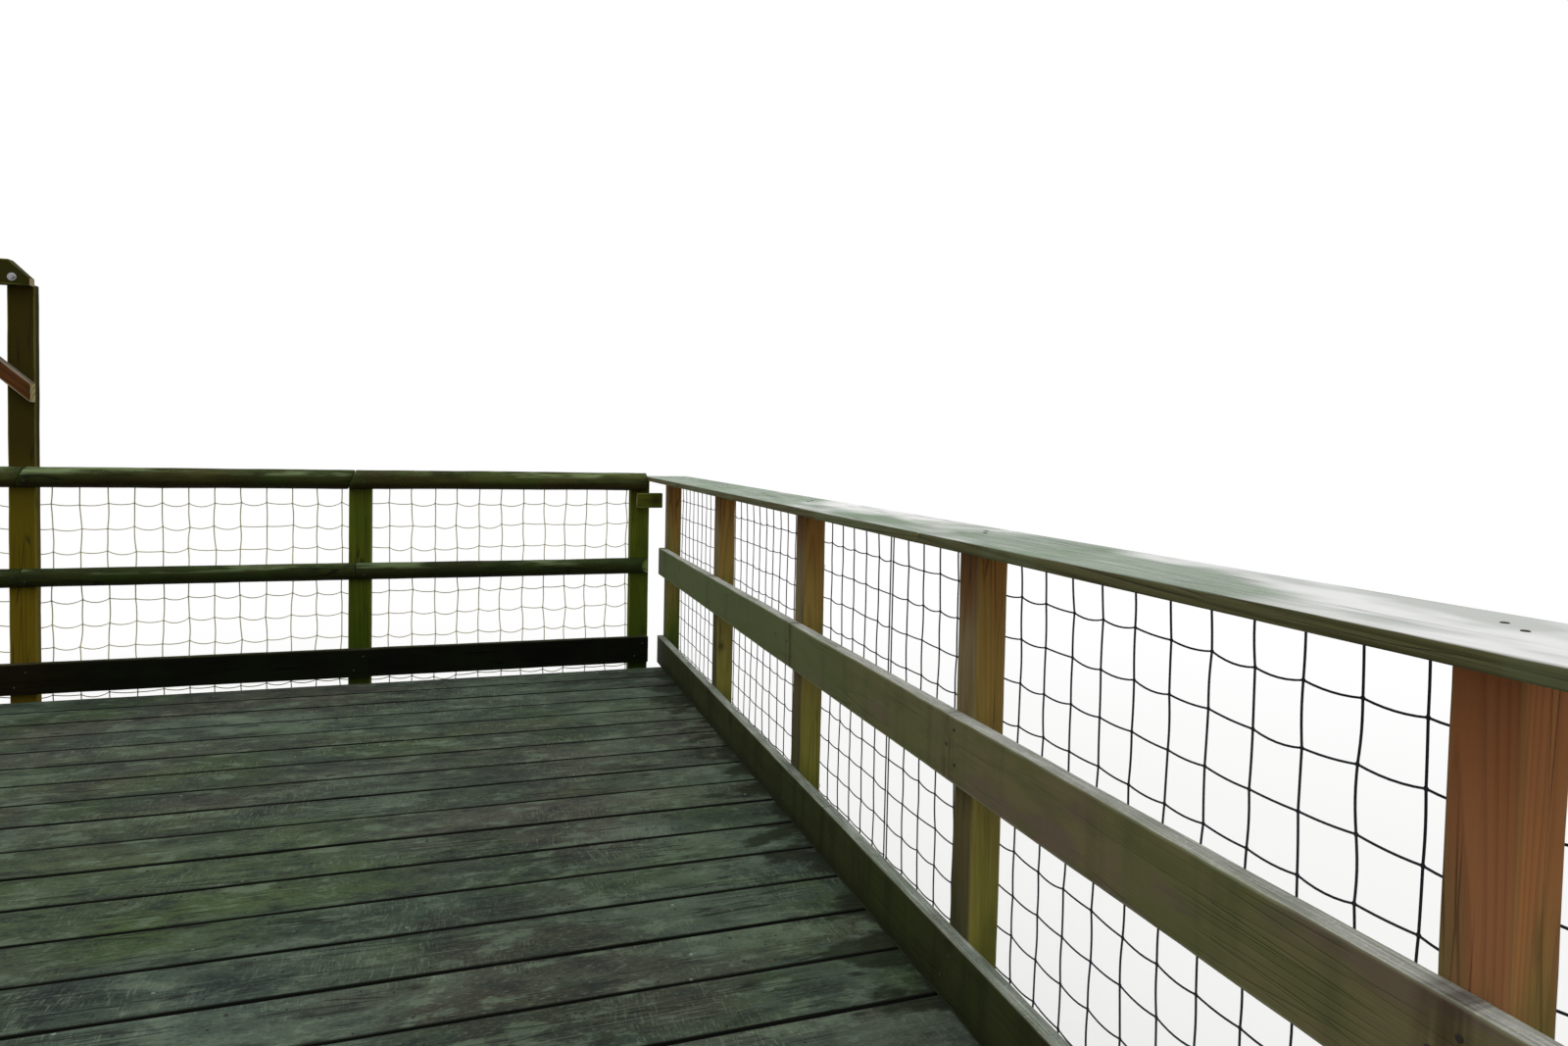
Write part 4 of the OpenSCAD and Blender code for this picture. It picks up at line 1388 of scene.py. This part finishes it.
def make_bolts():
    """Coach bolts with washers: through the guard posts and rim joists, the fence posts and header joist,
    the knee braces, the bearers and support posts, and the head beam."""
    groups = []
    for sign in (1.0, -1.0):
        posts = [(sign * POST_OUT, y + d, z) for y in POST_ROW for d, z in POST_BOLTS]
        groups.append((posts, sign * X))
    groups.append(([(x + d, FENCE_BACK, z) for x in FENCE_ROW for d, z in POST_BOLTS], Y))
    fronts, backs, braces = [], [], []
    for row in ROWS:
        low, high = low_high("bearer_" + row)
        behind = float(low_high("support_posts_" + row)[1][1])
        for x in (-SUPPORT_OUT, 0.0, SUPPORT_OUT):
            for d, z in ((-0.035, low[2] + 0.055), (0.035, high[2] - 0.055)):
                fronts.append((x + d, low[1], z))
                backs.append((x + d, behind, z))
        for x, direction in BRACE_FEET:
            foot = x + direction * POST_SIDE / 2
            braces.append((foot + direction * 0.045, low[1], low[2] - BRACE_REACH - 0.03))
            braces.append((foot + direction * (BRACE_REACH + 0.03), low[1], low[2] - 0.045))
    beam_low = low_high("head_beam")[0]
    beam = [(x - 0.012, beam_low[1], beam_low[2] + 0.035) for x in FENCE_ROW[2:]]
    groups += [(fronts + braces, -Y), (backs, Y), (beam, -Y)]
    stock = Stock()
    for places, facing in groups:
        stamp(stock, places, facing, Z, WASHER, 14)
        stamp(stock, places, facing, Z, BOLT_HEAD, 6)
    finish_piece(stock, "coach_bolts", BOLT_METAL, mark="cord")


def make_staples():
    """Wire staples that hold the nets: a tube bent into a low bridge over the cord, one every 200 mm up
    each post, to its left and right in turn."""
    wire = 0.0011
    beside = 0.03
    span = np.array([-0.0062, -0.0062, -0.0042, 0.0042, 0.0062, 0.0062])
    rise = np.array([-0.004, 0.0046, 0.0062, 0.0062, 0.0046, -0.004])
    heights = np.arange(2.30, 3.46, 0.2)
    turns = [(beside * (-1) ** k, z) for k, z in enumerate(heights)]
    groups = []
    for sign in (1.0, -1.0):
        for y in POST_ROW:
            groups.append((np.array([(sign * POST_OUT, y + d, z) for d, z in turns]), sign * X))
    for x in FENCE_ROW:
        groups.append((np.array([(x + d, FENCE_BACK, z) for d, z in turns]), Y))
    stock = Stock()
    for places, facing in groups:
        path = places[:, None, :] + span[None, :, None] * Z + rise[None, :, None] * facing
        along = np.tile(np.arange(len(span)) * 0.004, (len(places), 1))
        tube(stock, path, (Z + facing) / math.sqrt(2), np.cross(Z, facing), wire, along, 5)
    finish_piece(stock, "net_staples", BOLT_METAL, mark="cord")


make_screws()
make_nails()
make_bolts()
make_staples()

# Floor, light and background

WHITE = (1.0, 1.0, 1.0, 1.0)


def seen_straight(tree):
    """One for rays that come from the camera or off metal and glass, and zero for the rays that light
    things."""
    rays = add(tree, "ShaderNodeLightPath")
    mirrored = calc("MAXIMUM", rays["Is Glossy Ray"], rays["Is Transmission Ray"])
    return calc("MAXIMUM", rays["Is Camera Ray"], mirrored)


def make_floor():
    """A wide pale floor, a disc on the ground; away from the deck it fades to the white of the
    background."""
    sides = 96
    angle = np.arange(sides) * 2 * np.pi / sides
    radii = np.array([4.0, 9.0, 18.0, 36.0, 70.0])
    ring = np.stack([np.cos(angle), np.sin(angle), np.zeros(sides)], -1)
    points = np.concatenate([[[0.0, 0.0, 0.0]], (radii[:, None, None] * ring).reshape(-1, 3)])
    way = np.arange(sides)
    middle = np.stack([np.zeros(sides, int), way + 1, (way + 1) % sides + 1], -1)
    faces = middle.tolist() + (grid_faces(len(radii), sides)[:, ::-1] + 1).tolist()
    mesh = bpy.data.meshes.new("floor")
    mesh.from_pydata(points.tolist(), [], faces)
    mesh.update()
    material, tree, output = new_material("floor")
    place = add(tree, "ShaderNodeTexCoord")["Object"]
    far = reach_of(stretch(place, (1.0, 1.0, 0.0)))
    seen = seen_straight(tree)
    white = step(far, 6.0, 20.0) * seen
    matt = add(tree, "ShaderNodeBsdfDiffuse", {"Color": (0.86, 0.86, 0.85, 1.0)})[0]
    glow = add(tree, "ShaderNodeEmission", {"Color": WHITE, "Strength": 1.0})[0]
    both = add(tree, "ShaderNodeMixShader", {0: white, 1: matt, 2: glow})[0]
    tree.links.new(both.socket, output.inputs[0])
    mesh.materials.append(material)
    floor = bpy.data.objects.new("floor", mesh)
    scene.collection.objects.link(floor)


def make_light():
    """Even light from all round, white behind the object, and one very soft lamp from the upper left in
    front."""
    world = bpy.data.worlds.new("studio")
    world.use_nodes = True
    tree = world.node_tree
    tree.nodes.clear()
    seen = seen_straight(tree)
    soft = add(tree, "ShaderNodeBackground", {"Color": WHITE, "Strength": 0.78})[0]
    white = add(tree, "ShaderNodeBackground", {"Color": WHITE, "Strength": 1.0})[0]
    both = add(tree, "ShaderNodeMixShader", {0: seen, 1: soft, 2: white})[0]
    output = tree.nodes.new("ShaderNodeOutputWorld")
    tree.links.new(both.socket, output.inputs[0])
    scene.world = world
    data = bpy.data.lights.new("soft_sun", "SUN")
    data.energy = 1.15
    data.angle = math.radians(40.0)
    lamp = bpy.data.objects.new("soft_sun", data)
    lamp.rotation_euler = (math.radians(38.0), 0.0, math.radians(-32.0))
    scene.collection.objects.link(lamp)
    scene.view_settings.view_transform = "Standard"


make_floor()
make_light()

bpy.context.view_layer.update()
